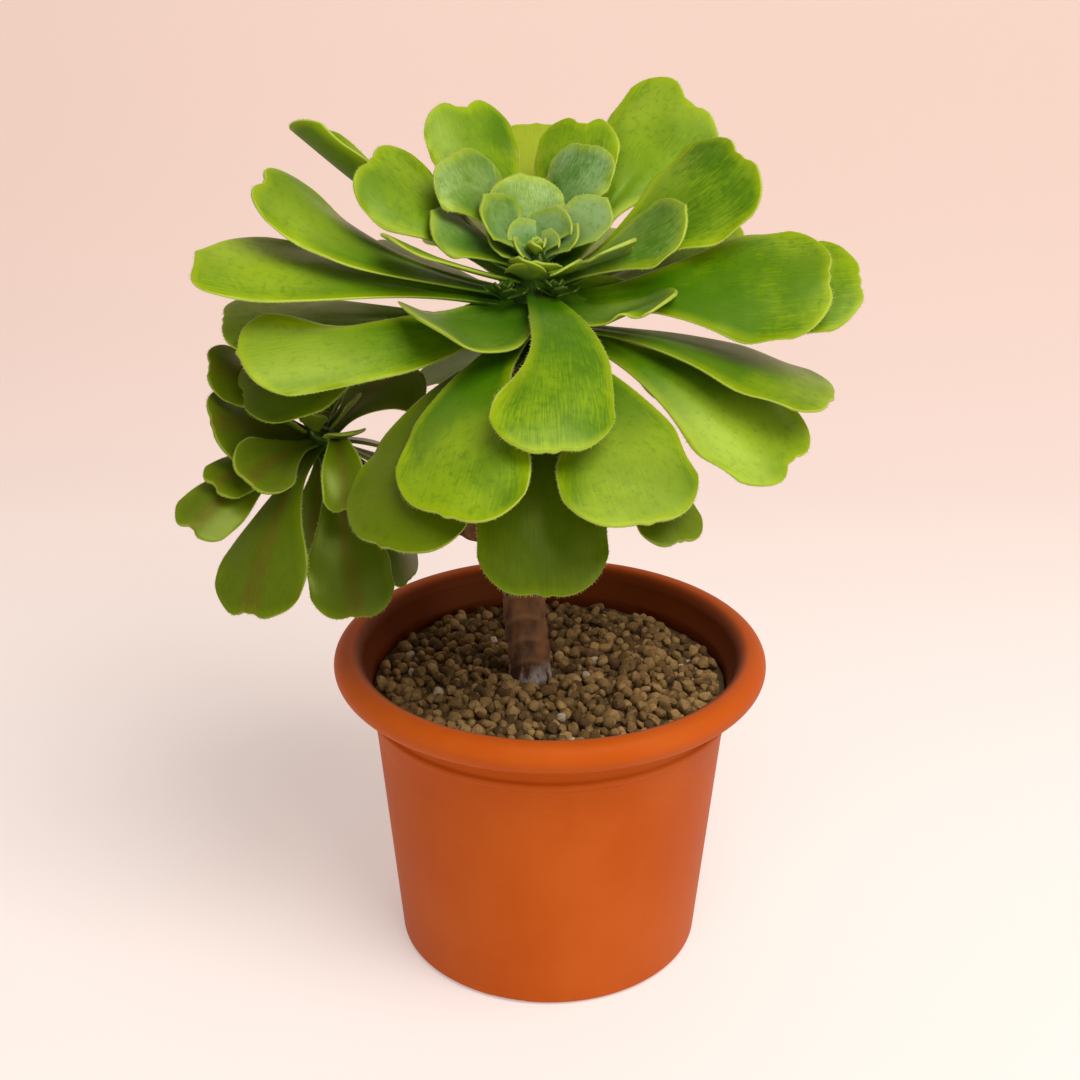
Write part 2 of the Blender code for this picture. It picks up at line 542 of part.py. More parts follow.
def make_leaf(leaf, base):
    """A closed blade: the surface thickened both ways, split into triangles alike on both faces."""
    along, across = LEAF_GRID[leaf_size(leaf)]
    surface, normal, u, v = leaf_surface(leaf, base, along, across)
    middle = STALK_THICKNESS[leaf_size(leaf)]
    thickness = EDGE_THICKNESS + (middle - EDGE_THICKNESS) * (1 - v ** 2) * (1 - TIP_THINNING * u)
    offset = normal * (thickness / 2)[..., None]
    points = np.concatenate([(surface + offset).reshape(-1, 3), (surface - offset).reshape(-1, 3)])
    count = (along + 1) * (across + 1)
    ids = np.arange(count).reshape(along + 1, across + 1)
    a, b, c, d = ids[:-1, :-1].ravel(), ids[1:, :-1].ravel(), ids[1:, 1:].ravel(), ids[:-1, 1:].ravel()
    border = np.concatenate([ids[:-1, 0], ids[-1, :-1], ids[:0:-1, -1], ids[0, :0:-1]])
    after = np.roll(border, -1)
    faces = [np.stack([a, b, c], 1), np.stack([a, c, d], 1), np.stack([a, c, b], 1) + count,
             np.stack([a, d, c], 1) + count, np.stack([border, border + count, after], 1),
             np.stack([after, border + count, after + count], 1)]
    return add_object("leaf", mesh_from("leaf", points, np.concatenate(faces)))


def spiral_leaves(spiral):
    """Leaves of a growing point, each turned on by the golden angle and smaller than the last."""
    leaves = []
    for index in range(spiral["count"]):
        t = index / (spiral["count"] - 1)
        azimuth = GOLDEN_ANGLE * index + spiral["start"]
        mix = {}
        for key in ("rise", "length", "width", "seat"):
            first, last = spiral[key]
            mix[key] = first + (last - first) * t
        mix["rise"] += spiral["lean"] * math.sin(math.radians(azimuth))
        leaves.append(dict(YOUNG_LEAF, azimuth=azimuth, bend=spiral["bend"], **mix))
    return leaves


def make_rosette(name, material, leaves, base, axis, tip_profile):
    """A leafy head: its leaves fused to the green stem tip that carries them."""
    direction = np.array(axis, float)
    direction /= np.linalg.norm(direction)
    level = np.cross((0.0, 1.0, 0.0), direction)
    level /= np.linalg.norm(level)
    other = np.cross(direction, level)
    points = []
    for radius, distance in tip_profile:
        centre = np.array(base) + direction * distance
        for turn in np.arange(TIP_SIDES) * math.tau / TIP_SIDES:
            points.append(centre + radius * (math.cos(turn) * level + math.sin(turn) * other))
    head = add_object(name, mesh_from(name, points, ring_faces(len(tip_profile), TIP_SIDES)))
    blades = []
    for row in leaves:
        leaf = dict(LEAF, **row)
        blades.append(make_leaf(leaf, np.array(base) + direction * leaf["seat"] + np.array(leaf["root"])))
    combine(head, blades, "UNION", "MANIFOLD")
    keep_largest_body(head.data)
    add_finish(head, material, CRISP_ANGLE["leaf"])


def main():
    """Build the pot, its filling, the stem and the two leafy heads."""
    clear_scene()
    make_pot(make_material(*TERRACOTTA))
    make_grit(make_material(*GRIT), TRUNK_PATH[1][:2])
    make_stem(make_material(*BARK))
    make_rosette("crown_rosette", make_material(*LEAF_GREEN), CROWN_LEAVES + spiral_leaves(CROWN_SPIRAL),
                 CROWN_BASE, CROWN_AXIS, CROWN_TIP)
    make_rosette("side_rosette", make_material(*SHADED_GREEN), SIDE_LEAVES + spiral_leaves(SIDE_SPIRAL),
                 SIDE_BASE, SIDE_AXIS, SIDE_TIP)


main()
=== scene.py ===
import math
import bpy
import numpy as np
from mathutils import Matrix, Vector


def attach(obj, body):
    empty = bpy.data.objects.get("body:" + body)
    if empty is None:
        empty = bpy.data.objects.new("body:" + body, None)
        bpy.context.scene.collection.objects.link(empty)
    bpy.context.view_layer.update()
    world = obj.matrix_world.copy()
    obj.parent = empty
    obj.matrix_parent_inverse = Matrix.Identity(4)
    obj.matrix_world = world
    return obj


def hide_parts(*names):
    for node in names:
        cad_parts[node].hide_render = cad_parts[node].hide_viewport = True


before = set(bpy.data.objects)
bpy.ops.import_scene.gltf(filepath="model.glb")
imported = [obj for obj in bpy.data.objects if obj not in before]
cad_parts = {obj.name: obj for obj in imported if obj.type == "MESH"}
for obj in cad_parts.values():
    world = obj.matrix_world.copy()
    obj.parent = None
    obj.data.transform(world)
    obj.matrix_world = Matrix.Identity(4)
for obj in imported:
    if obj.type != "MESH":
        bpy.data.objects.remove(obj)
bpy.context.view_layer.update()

print("frame loaded:", ", ".join(sorted(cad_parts)))

# where nothing else is said, lengths are millimetres and angles degrees; mm turns a length into metres
mm = 0.001
tau = math.tau


def easeBetween(start, end, value):
    # 0 before start, 1 after end, a smooth cubic rise between
    t = np.clip((value - start) / (end - start), 0, 1)
    return t * t * (3 - 2 * t)


def unit(vectors):
    return vectors / np.linalg.norm(vectors, axis=-1, keepdims=True)


def link(name, data):
    # a new object in the scene
    item = bpy.data.objects.new(name, data)
    bpy.context.scene.collection.objects.link(item)
    return item


noiseTable = np.random.default_rng(11).uniform(-1, 1, 4096)


def cloudNoise(points, size, seed=0):
    # smooth noise from -1 to 1: random values at the corners of cells of that size, blended by a cubic ease
    scaled = np.asarray(points, float) / size
    cell = np.floor(scaled).astype(int)
    t = scaled - cell
    t = t * t * (3 - 2 * t)
    total = np.zeros(scaled.shape[:-1])
    for corner in np.ndindex(2, 2, 2):
        weight = np.prod(np.where(corner, t, 1 - t), axis=-1)
        key = (cell + corner) @ np.array([73, 1217, 2879]) + seed * 617
        total += weight * noiseTable[key % 4096]
    return total


class Shape:
    # gathers points, faces and per-point numbers of many small surfaces into one mesh
    def __init__(self, name):
        self.name = name
        self.points, self.quads, self.tris, self.values = [], [], [], {}
        self.count = 0

    def add(self, points, quads=(), tris=(), **values):
        points = np.asarray(points, float).reshape(-1, 3)
        self.points.append(points)
        self.quads.append(np.asarray(quads, int).reshape(-1, 4) + self.count)
        self.tris.append(np.asarray(tris, int).reshape(-1, 3) + self.count)
        for key, value in values.items():
            self.values.setdefault(key, []).append(np.broadcast_to(value, (len(points), 3)))
        self.count += len(points)

    def finish(self, material, node=None, smooth=None):
        points = np.concatenate(self.points) * mm
        quads, tris = np.concatenate(self.quads), np.concatenate(self.tris)
        mesh = bpy.data.meshes.new(self.name)
        mesh.vertices.add(len(points))
        mesh.vertices.foreach_set("co", points.ravel())
        corners = np.concatenate([quads.ravel(), tris.ravel()])
        sizes = np.concatenate([np.full(len(quads), 4), np.full(len(tris), 3)])
        mesh.loops.add(len(corners))
        mesh.loops.foreach_set("vertex_index", corners)
        mesh.polygons.add(len(sizes))
        mesh.polygons.foreach_set("loop_start", np.cumsum(sizes) - sizes)
        mesh.update(calc_edges=True)
        mesh.validate()
        for key, value in self.values.items():
            layer = mesh.attributes.new(key, "FLOAT_VECTOR", "POINT")
            layer.data.foreach_set("vector", np.concatenate(value).astype(np.float32).ravel())
        mesh.shade_smooth()
        if smooth:
            mesh.set_sharp_from_angle(angle=math.radians(smooth))
        piece = link(self.name, mesh)
        mesh.materials.append(material)
        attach(piece, "root")
        if node:
            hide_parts(node)
        print(f"{self.name}: {len(quads) * 2 + len(tris)} triangles")
        return piece


def joinGrid(ids):
    # quads between neighbours in a grid of point numbers
    return np.stack([ids[:-1, :-1], ids[:-1, 1:], ids[1:, 1:], ids[1:, :-1]], axis=-1).reshape(-1, 4)


def closeGrid(ids):
    # the first column once more after the last
    return np.concatenate([ids, ids[:, :1]], axis=1)


def gridFaces(rows, columns):
    # quads of a grid of rings, each closed on itself
    return joinGrid(closeGrid(np.arange(rows * columns).reshape(rows, columns)))


def fan(ring, centre, flip=False):
    # triangles from a ring of points to one centre point
    ring = np.asarray(ring)
    after = np.roll(ring, -1)
    middle = np.full(len(ring), centre)
    return np.stack([after, ring, middle] if flip else [ring, after, middle], axis=-1)


def endFans(rings, sides):
    # closes both ends of a grid of rings, to the two centre points that come after it
    last = rings * sides
    return np.concatenate([fan(range(sides), last, flip=True), fan(range(last - sides, last), last + 1)])


def lengthAlong(points):
    # each point's distance from the first one, along the line through all of them
    return np.concatenate([[0], np.cumsum(np.linalg.norm(np.diff(points, axis=0), axis=1))])


class Wire:
    # one output of a material's nodes; arithmetic on it adds Math nodes
    def __init__(self, paint, socket):
        self.paint, self.socket = paint, socket

    def __add__(self, other):
        return self.paint.maths("ADD", self, other)

    def __sub__(self, other):
        return self.paint.maths("SUBTRACT", self, other)

    def __rsub__(self, other):
        return self.paint.maths("SUBTRACT", other, self)

    def __mul__(self, other):
        return self.paint.maths("MULTIPLY", self, other)

    __radd__, __rmul__ = __add__, __mul__


class Paint:
    # a Principled material: node() adds any node, with its settings first and then the values or links of
    # its sockets, put() sets or links one socket, and feed() sets or links those of the shader
    def __init__(self, name, **fixed):
        self.material = bpy.data.materials.new(name)
        self.material.use_nodes = True
        self.tree = self.material.node_tree
        self.shader = self.tree.nodes["Principled BSDF"]
        self.feed(**fixed)

    def node(self, kind, settings=None, values=None, out=0):
        made = self.tree.nodes.new("ShaderNode" + kind)
        for key, value in (settings or {}).items():
            if key == "stops":
                ramp = made.color_ramp
                while len(ramp.elements) < len(value):
                    ramp.elements.new(0.5)
                for element, (place, colour) in zip(ramp.elements, value):
                    element.position = place
                    element.color = (*colour, 1)
            else:
                setattr(made, key, value)
        for key, value in (values or {}).items():
            self.put(made.inputs[key], value)
        return Wire(self, made.outputs[out])

    def put(self, socket, value):
        if isinstance(value, Wire):
            self.tree.links.new(value.socket, socket)
        elif hasattr(value, "__len__") and len(value) == 3 and socket.type == "RGBA":
            socket.default_value = (*value, 1)
        else:
            socket.default_value = value

    def maths(self, operation, first, second):
        return self.node("Math", {"operation": operation}, {0: first, 1: second})

    def part(self, vector, axis):
        return self.node("SeparateXYZ", values={0: vector}, out=axis)

    def attribute(self, name):
        return self.node("Attribute", {"attribute_name": name}, out="Vector")

    def place(self):
        return self.node("TexCoord", out="Object")

    def scaled(self, vector, amounts):
        return self.node("VectorMath", {"operation": "MULTIPLY"}, {0: vector, 1: amounts})

    def noise(self, scale, detail, vector=None, rough=0.5, **extra):
        # scale is how many clouds fit in a metre, or in one unit of the given vector
        values = {"Vector": vector or self.place(), "Scale": scale, "Detail": detail, "Roughness": rough}
        return self.node("TexNoise", values={**values, **extra})

    def spread(self, value, low, high):
        # 0 at low and 1 at high, with an ease at both ends; low may be the larger one
        return self.node("MapRange", {"interpolation_type": "SMOOTHSTEP"},
                         {"Value": value, "From Min": low, "From Max": high})

    def mix(self, amount, first, second):
        return self.node("Mix", {"data_type": "RGBA"}, {0: amount, 6: first, 7: second}, out=2)

    def bump(self, height, strength, distance, normal=None):
        values = {"Height": height, "Strength": strength, "Distance": distance}
        if normal:
            values["Normal"] = normal
        return self.node("Bump", values=values)

    def feed(self, **links):
        for key, value in links.items():
            self.put(self.shader.inputs[key.replace("_", " ")], value)
        return self.material


pot = {
    "sides": 180,
    "height": 113.5,
    "rimRadius": 75.0,
    "rimRoll": 5.2,
    "rimArc": (-100, 180),
    "outside": [(52.2, 0), (53.7, 1.5), (60.9, 82.0), (62.4, 91.6), (64.3, 92.6), (64.3, 94.2), (63.3, 95.2),
                (63.3, 101.5)],
    "inside": [(62.1, 102.5), (61.5, 96.0), (59.1, 82.0), (51.4, 5.0), (49.4, 3.0)],
    "floor": 3.0,
    "corner": 0.45,  # how far from each moulded corner its rounding starts
    "crease": 32,  # edges sharper than this many degrees stay sharp
    "rimPoints": 40,
    "drains": 4,
    "drainRadius": 4.5,
    "drainCircle": 34.0,
    "channelWidth": 12.5,
    "channelDepth": 1.1,
    "channelStart": 16.0,
    "channelOverrun": 5.0,
    "firstChannel": -105.0,
    "drainSides": 32,
    "colour": (0.40, 0.064, 0.003),
    "worn": (0.50, 0.110, 0.016),
    # painted highlight on the lower edge of the rim's roll
    "lipHighlight": (0.720, 0.260, 0.080),
    # painted shade on the pot's inner wall and the inner side of its rim
    "insideShade": (0.075, 0.013, 0.002),
    "sheen": (1.0, 0.60, 0.35),
    # what follows is in metres, as materials measure
    "lipLine": 0.1038,  # height of the painted highlight line under the rim
    "lipLineHalf": (0.00045, 0.0001),  # distance from that height where the line begins and is full
    "lipLineZone": (0.0660, 0.0670),  # distance from the axis where it begins and is full
    "insideShadeZone": (0.0700, 0.0655),  # the same for the painted shade on the inside
}


def roundCorners(outline, radius, steps=4):
    # each corner of an outline becomes a parabola from a point on one of its sides to a point on the other:
    # (1 - t)^2 start + 2 t (1 - t) corner + t^2 end
    outline = np.array(outline, float)
    rounded = [outline[:1]]
    t = np.linspace(0, 1, steps)[:, None]
    for before, corner, after in zip(outline, outline[1:], outline[2:]):
        back, ahead = before - corner, after - corner
        backLength, aheadLength = np.linalg.norm(back), np.linalg.norm(ahead)
        start = corner + back * min(radius / backLength, 0.45)
        end = corner + ahead * min(radius / aheadLength, 0.45)
        # a ring beside the curve keeps a long wall's shading flat
        if backLength > 8 * radius:
            rounded.append((corner + back * 3 * radius / backLength)[None])
        rounded.append((1 - t) ** 2 * start + 2 * t * (1 - t) * corner + t ** 2 * end)
        if aheadLength > 8 * radius:
            rounded.append((corner + ahead * 3 * radius / aheadLength)[None])
    rounded.append(outline[-1:])
    return np.concatenate(rounded)


def revolve(shape, outline, sides):
    # (radius, height) becomes (radius cos turn, radius sin turn, height); the outline's two ends lie on the
    # axis
    rings = outline[1:-1]
    turn = np.arange(sides) * tau / sides
    points = np.stack([rings[:, :1] * np.cos(turn), rings[:, :1] * np.sin(turn),
                       rings[:, 1:] * np.ones(sides)], axis=-1).reshape(-1, 3)
    poles = [(0, 0, outline[0, 1]), (0, 0, outline[-1, 1])]
    shape.add(np.concatenate([points, poles]), gridFaces(len(rings), sides), endFans(len(rings), sides))


def cutAway(piece, cutters):
    # takes the cutters out of a piece, and removes them
    for cutter in cutters:
        boolean = piece.modifiers.new("cut", "BOOLEAN")
        boolean.operation = "DIFFERENCE"
        boolean.solver = "EXACT"
        boolean.object = cutter
    carved = bpy.data.meshes.new_from_object(piece.evaluated_get(bpy.context.evaluated_depsgraph_get()))
    piece.modifiers.clear()
    piece.data = carved
    for cutter in cutters:
        bpy.data.objects.remove(cutter, do_unlink=True)


def addCutter(points, quads, tris=()):
    # a closed form that is taken out of another one and then removed
    mesh = bpy.data.meshes.new("cutter")
    faces = [tuple(face) for face in quads] + [tuple(face) for face in tris]
    mesh.from_pydata([tuple(point) for point in np.asarray(points) * mm], [], faces)
    return link("cutter", mesh)


def drainCutters(turn):
    # a drain hole and the channel that leads from it to the foot's edge, both in the direction of turn
    along = np.array([math.cos(turn), math.sin(turn), 0])
    across = np.array([-along[1], along[0], 0]) * pot["channelWidth"] / 2
    footRadius = pot["outside"][1][0]
    near, far = along * pot["channelStart"], along * (footRadius + pot["channelOverrun"])
    flat = np.array([near - across, far - across, far + across, near + across])
    box = np.concatenate([flat - (0, 0, 1), flat + (0, 0, pot["channelDepth"])])
    walls = [(0, 1, 5, 4), (1, 2, 6, 5), (2, 3, 7, 6), (3, 0, 4, 7)]
    channel = addCutter(box, [(0, 3, 2, 1), (4, 5, 6, 7)] + walls)
    sides = pot["drainSides"]
    spin = np.arange(sides) * tau / sides
    middle = along * pot["drainCircle"]
    ring = np.stack([np.cos(spin), np.sin(spin), 0 * spin], axis=-1) * pot["drainRadius"] + middle
    below, above = (0, 0, 2), (0, 0, 2 * pot["floor"])
    tube = np.concatenate([ring - below, ring + above, [middle - below], [middle + above]])
    return [channel, addCutter(tube, gridFaces(2, sides), endFans(2, sides))]


def makePot():
    arc = np.radians(np.linspace(*pot["rimArc"], pot["rimPoints"]))
    roll = np.stack([pot["rimRadius"] + pot["rimRoll"] * (np.cos(arc) - 1),
                     pot["height"] + pot["rimRoll"] * (np.sin(arc) - 1)], axis=-1)
    lower = roundCorners([(0, 0)] + pot["outside"] + [roll[0]], pot["corner"])
    inner = roundCorners([roll[-1]] + pot["inside"] + [(0, pot["floor"])], pot["corner"])
    shape = Shape("plastic_pot")
    revolve(shape, np.concatenate([lower[:-1], roll, inner[1:]]), pot["sides"])
    piece = shape.finish(plasticPaint(), "pot")
    cutters = []
    for index in range(pot["drains"]):
        cutters += drainCutters(math.radians(pot["firstChannel"]) + index * tau / pot["drains"])
    cutAway(piece, cutters)
    piece.data.shade_smooth()
    piece.data.set_sharp_from_angle(angle=math.radians(pot["crease"]))


def plasticPaint():
    # matt orange-brown moulded plastic: a slightly uneven colour, paler rubbed spots, faint upright streaks
    # and a fine grain; painted shade on what faces the axis inside the pot, and a painted highlight:
    # a pale, broken line round the neck under the rim
    paint = Paint("terracotta plastic", Specular_IOR_Level=0.15, Specular_Tint=pot["sheen"])
    patches = paint.noise(26, 3)
    rubbed = paint.spread(paint.noise(140, 5, rough=0.65), 0.58, 0.74)
    streaks = paint.noise(9, 4, paint.scaled(paint.place(), (30, 30, 1.2)))
    colour = paint.mix(paint.spread(patches, 0.3, 0.7) * 0.35, pot["colour"], pot["worn"])
    colour = paint.mix(rubbed * 0.25, colour, pot["worn"])
    grain = paint.noise(2600, 2)
    spoke = paint.scaled(paint.place(), (1, 1, 0))
    fromAxis = paint.node("VectorMath", {"operation": "LENGTH"}, {0: spoke}, out="Value")
    facing = paint.node("TexCoord", out="Normal")
    outwards = paint.node("VectorMath", {"operation": "DOT_PRODUCT"}, {0: facing, 1: spoke}, out="Value")
    # painted shade on what faces the axis inside the pot
    inside = paint.spread(fromAxis, *pot["insideShadeZone"]) * paint.spread(outwards, 0.0, -0.03)
    colour = paint.mix(inside * 0.9, colour, pot["insideShade"])
    # painted highlight: a pale, broken line along the lower edge of the rim's roll
    overSeam = paint.part(paint.place(), 2) - pot["lipLine"]
    begin, full = pot["lipLineHalf"]
    lipLine = paint.spread(overSeam, begin, full) * paint.spread(overSeam, -begin, -full)
    lipLine = lipLine * paint.spread(fromAxis, *pot["lipLineZone"]) * (0.35 + 0.65 * patches)
    colour = paint.mix(lipLine * 0.7, colour, pot["lipHighlight"])
    rough = 0.46 + 0.10 * patches + 0.10 * rubbed + 0.05 * streaks
    normal = paint.bump(grain, 0.10, 0.0002)
    normal = paint.bump(streaks, 0.06, 0.0004, normal)
    return paint.feed(Base_Color=colour, Roughness=rough, Normal=normal)


grit = {
    "radius": 61.3,
    "level": 99.4,
    "wall": [(61.2, 98.5), (61.1, 96.0), (58.8, 82.3), (51.1, 5.3), (49.1, 3.3)],
    "grain": 4.7,  # mean size of a pebble
    "sizes": (0.72, 1.25),
    "layers": [(-1.9, 4.3), (0.6, 4.5)],  # height of each layer's middles over the level, and their spacing
    "steps": 20,  # pebbles counted each way from the middle, before those outside the pot are left out
    "astray": (0.34, 0.8),  # how far one may stray: aside, as a share of the spacing, and in height
    "lumps": 0.26,
    "squeeze": [(0.80, 0.72, 0.62), (1.22, 1.0, 0.86)],  # least and most along a pebble's own axes
    "flats": 3,
    "flatAt": 0.72,  # how far out a flat lies, as a share of the pebble's radius
    "pressed": 0.85,  # how much of what lies beyond a flat is pressed back
    "unlevel": (0.9, 22),  # how much the surface rises and falls, and how wide its swells are
    "bedRelief": (1.1, 2.6),  # the same for the fine relief of the bed under the pebbles
    "bedSink": 0.9,
    "bedGrid": (60, 160),
    "pebbleGrid": (6, 10),
    "crease": 38,
    "stem": (-6.9, 2.3, 8.0),  # centre and radius of the clear patch round the stem
    "seed": 5,
    "dark": (0.055, 0.034, 0.018),
    "deep": (0.095, 0.050, 0.016),
    "middle": (0.200, 0.112, 0.033),
    "light": (0.410, 0.250, 0.092),
    "chalk": (0.700, 0.620, 0.500),  # a few whitish stones
}


def pebbleGrid(rows, sides):
    # a ball as rings of points with a pole at each end: (sin down cos turn, sin down sin turn, cos down)
    down = np.linspace(0, math.pi, rows + 1)[1:-1]
    turn = np.arange(sides) * tau / sides
    ball = np.stack([np.sin(down)[:, None] * np.cos(turn), np.sin(down)[:, None] * np.sin(turn),
                     np.cos(down)[:, None] * np.ones(sides)], axis=-1).reshape(-1, 3)
    # the faces are turned over, since the rings run downwards
    quads, ends = gridFaces(rows - 1, sides)[:, ::-1], endFans(rows - 1, sides)[:, [1, 0, 2]]
    return np.concatenate([ball, [(0, 0, 1), (0, 0, -1)]]), quads, ends


def makeGritBed():
    # what fills the pot under the pebbles: a turned form whose top has a fine relief
    bed = Shape("grit_bed")
    rings, sides = grit["bedGrid"]
    top = [(radius, grit["level"]) for radius in np.linspace(grit["radius"], 0, rings)]
    revolve(bed, np.array([(0, grit["wall"][-1][1])] + grit["wall"][::-1] + top), sides)
    points = bed.points[0]
    onTop = points[:, 2] > grit["level"] - 0.1
    height, wide = grit["bedRelief"]
    points[onTop, 2] += height * cloudNoise(points[onTop], wide) - grit["bedSink"]
    bed.finish(gritPaint("grit bed"), "grit")


def pebblePlaces(draw):
    # centres and radii: each layer is a honeycomb of spots, each moved a little, less what lies outside the
    # pot or in the stem
    centres = []
    aside, upright = grit["astray"]
    for height, pitch in grit["layers"]:
        steps = np.arange(-grit["steps"], grit["steps"] + 1)
        column, row = np.meshgrid(steps, steps)
        across, back = pitch * (column + row / 2), pitch * row * math.sqrt(3) / 2
        spots = np.stack([across, back], axis=-1).reshape(-1, 2)
        spots = spots + draw.uniform(-aside, aside, spots.shape) * pitch
        heights = height + draw.uniform(-upright, upright, len(spots))
        centres.append(np.column_stack([spots, heights]))
    centres = np.concatenate(centres)
    size = grit["grain"] / 2 * draw.uniform(*grit["sizes"], len(centres))
    stemX, stemY, clear = grit["stem"]
    fromStem = np.hypot(centres[:, 0] - stemX, centres[:, 1] - stemY)
    fromMiddle = np.hypot(centres[:, 0], centres[:, 1])
    keep = (fromMiddle < grit["radius"] - size * 0.95) & (fromStem > clear + size * 0.55)
    centres, size = centres[keep], size[keep]
    rise, wide = grit["unlevel"]
    centres[:, 2] += grit["level"] + rise * cloudNoise(centres * (1, 1, 0), wide, 3)
    return centres, size


def randomTurns(draw, count):
    # rotation matrices from random unit quaternions w + xi + yj + zk
    w, x, y, z = unit(draw.normal(size=(count, 4))).T
    rows = [1 - 2 * (y * y + z * z), 2 * (x * y - z * w), 2 * (x * z + y * w),
            2 * (x * y + z * w), 1 - 2 * (x * x + z * z), 2 * (y * z - x * w),
            2 * (x * z - y * w), 2 * (y * z + x * w), 1 - 2 * (x * x + y * y)]
    return np.stack(rows, axis=-1).reshape(-1, 3, 3)


def makePebbles():
    # each pebble is a ball times 1 + lumps x noise, pressed back to a few flats, squeezed along its own
    # axes, turned
    draw = np.random.default_rng(grit["seed"])
    ball, quads, tris = pebbleGrid(*grit["pebbleGrid"])
    centres, size = pebblePlaces(draw)
    count = len(centres)
    lumps = 1 + grit["lumps"] * cloudNoise(ball[None] + draw.uniform(0, 90, (count, 1, 3)), 0.85)
    squeeze = draw.uniform(*grit["squeeze"], (count, 3))
    turn = randomTurns(draw, count)
    stones = ball[None] * lumps[..., None]
    flats = unit(draw.normal(size=(count, grit["flats"], 3)))
    for side in range(grit["flats"]):
        beyond = np.einsum("nij,nj->ni", stones, flats[:, side]) - grit["flatAt"]
        stones = stones - np.maximum(beyond, 0)[..., None] * flats[:, side][:, None, :] * grit["pressed"]
    stones = np.einsum("nij,nkj->nki", turn, stones * squeeze[:, None, :]) * size[:, None, None]
    stones = stones + centres[:, None, :]
    tone = draw.uniform(0, 1, count)
    pebbles = Shape("grit_pebbles")
    step = np.arange(count)[:, None, None] * len(ball)
    quads, tris = (quads[None] + step).reshape(-1, 4), (tris[None] + step).reshape(-1, 3)
    pebbles.add(stones.reshape(-1, 3), quads, tris, stone=np.repeat(tone, len(ball))[:, None])
    pebbles.finish(gritPaint("grit pebbles", "stone"), "grit", smooth=grit["crease"])


def gritPaint(name, attribute=None):
    # dull fired clay: each stone its own brown, with paler dusty patches and a gritty skin
    paint = Paint(name, Specular_IOR_Level=0.25)
    fine = paint.noise(900, 4, rough=0.7)
    if attribute:
        tone = paint.part(paint.attribute(attribute), 0)
        stops = [(0, grit["deep"]), (0.45, grit["middle"]), (0.985, grit["light"]), (1, grit["chalk"])]
        colour = paint.node("ValToRGB", {"stops": stops}, {0: tone})
    else:
        colour = paint.mix(0.75, grit["middle"], grit["dark"])
    colour = paint.mix(paint.spread(fine, 0.35, 0.65) * 0.4, colour, grit["dark"])
    colour = paint.mix(paint.spread(paint.noise(420, 3), 0.52, 0.72) * 0.5, colour, grit["light"])
    normal = paint.bump(fine, 0.5, 0.0004)
    return paint.feed(Base_Color=colour, Roughness=0.86 + 0.1 * fine, Normal=normal)


stem = {
    "trunk": [(-6.6, 2.2, 72), (-6.9, 2.3, 102), (-9.0, 2.3, 128), (-9.0, 2.2, 160), (-7.8, 2.0, 190)],
    "trunkRadii": [7.0, 7.3, 7.2, 7.0, 6.8, 6.6, 6.6],
    "branch": [(-9.0, 2.4, 148), (-24, 8, 153), (-44, 16, 158), (-62, 20.5, 165)],
    "branchRadii": [5.4, 5.2, 5.0, 4.8, 4.6, 4.6],
    "trunkGrid": (260, 56),
    "branchGrid": (170, 44),
    "stretch": 5.0,  # length of the straight piece under each green tip
    "scarPitch": 8.5,
    "scarBend": 2.2,  # how far the scars' crescents reach along the stem, in radians of their pitch
    "scarZone": (0.55, 0.95),  # where a scar's wave begins to rise, and is up
    "skin": (6, 2.4),  # the noise's radius round the stem, and the millimetres along it for one unit
    # what follows is a share of the radius; the ridges are the fine and the coarse noise, each with its
    # height, stretch, size and seed
    "swell": 0.05,
    "scarRise": 0.035,
    "ridges": [(0.022, (1, 1, 0.5), 1.3, 4), (0.03, (0.6, 0.6, 1), 2.2, 6)],
    # colours
    "bark": (0.120, 0.042, 0.011),
    "pale": (0.230, 0.110, 0.042),
    "dark": (0.040, 0.018, 0.012),
    "crust": (0.420, 0.390, 0.360),  # whitish deposit at the foot of the trunk
    "crustZone": (0.109, 0.102),  # heights in metres where it begins and is full
}

# where the leaves spring from, and the green stem tip: radius and distance along the axis
crown = {
    "base": (-6.3, 2.0, 224.0),
    "axis": (0.07, 0, 1),
    "tip": [(6.6, -10), (8.2, -4), (8.4, 4), (7.4, 12), (5.4, 19), (3.2, 24), (1.5, 27)],
    "lowSeat": 7,  # the leaves that spring from below this are a piece of their own
    "seed": 3,
}
sideHead = {
    "base": (-77.0, 8.0, 184.8),
    "axis": (-0.31, -0.63, 0.71),
    "tip": [(4.6, -9.5), (5.2, -6), (5.4, -1), (4.2, 4), (2.6, 7.5), (1.2, 9)],
    "hue": 0.1,
    # painted shade: the whole side head is darker and olive
    "shade": 0.9,
    "seed": 4,
}


def axisPoint(head, distance):
    return np.array(head["base"], float) + unit(np.array(head["axis"], float)) * distance


def smoothPath(route, count):
    # points and directions of a curve through every point of the route: from b to c it is
    # b + ((c - a) t + (2a - 5b + 4c - d) t^2 + (3b - a - 3c + d) t^3) / 2, with a before b and d after c
    route = np.array(route, float)
    route = np.concatenate([[2 * route[0] - route[1]], route, [2 * route[-1] - route[-2]]])
    step = np.linspace(0, len(route) - 3, count)
    index = np.minimum(step.astype(int), len(route) - 4)
    t = (step - index)[:, None]
    a, b, c, d = (route[index + k] for k in range(4))
    square, cube = 2 * a - 5 * b + 4 * c - d, 3 * b - a - 3 * c + d
    points = b + ((c - a) * t + square * t ** 2 + cube * t ** 3) / 2
    return points, unit((c - a) + 2 * square * t + 3 * cube * t ** 2)


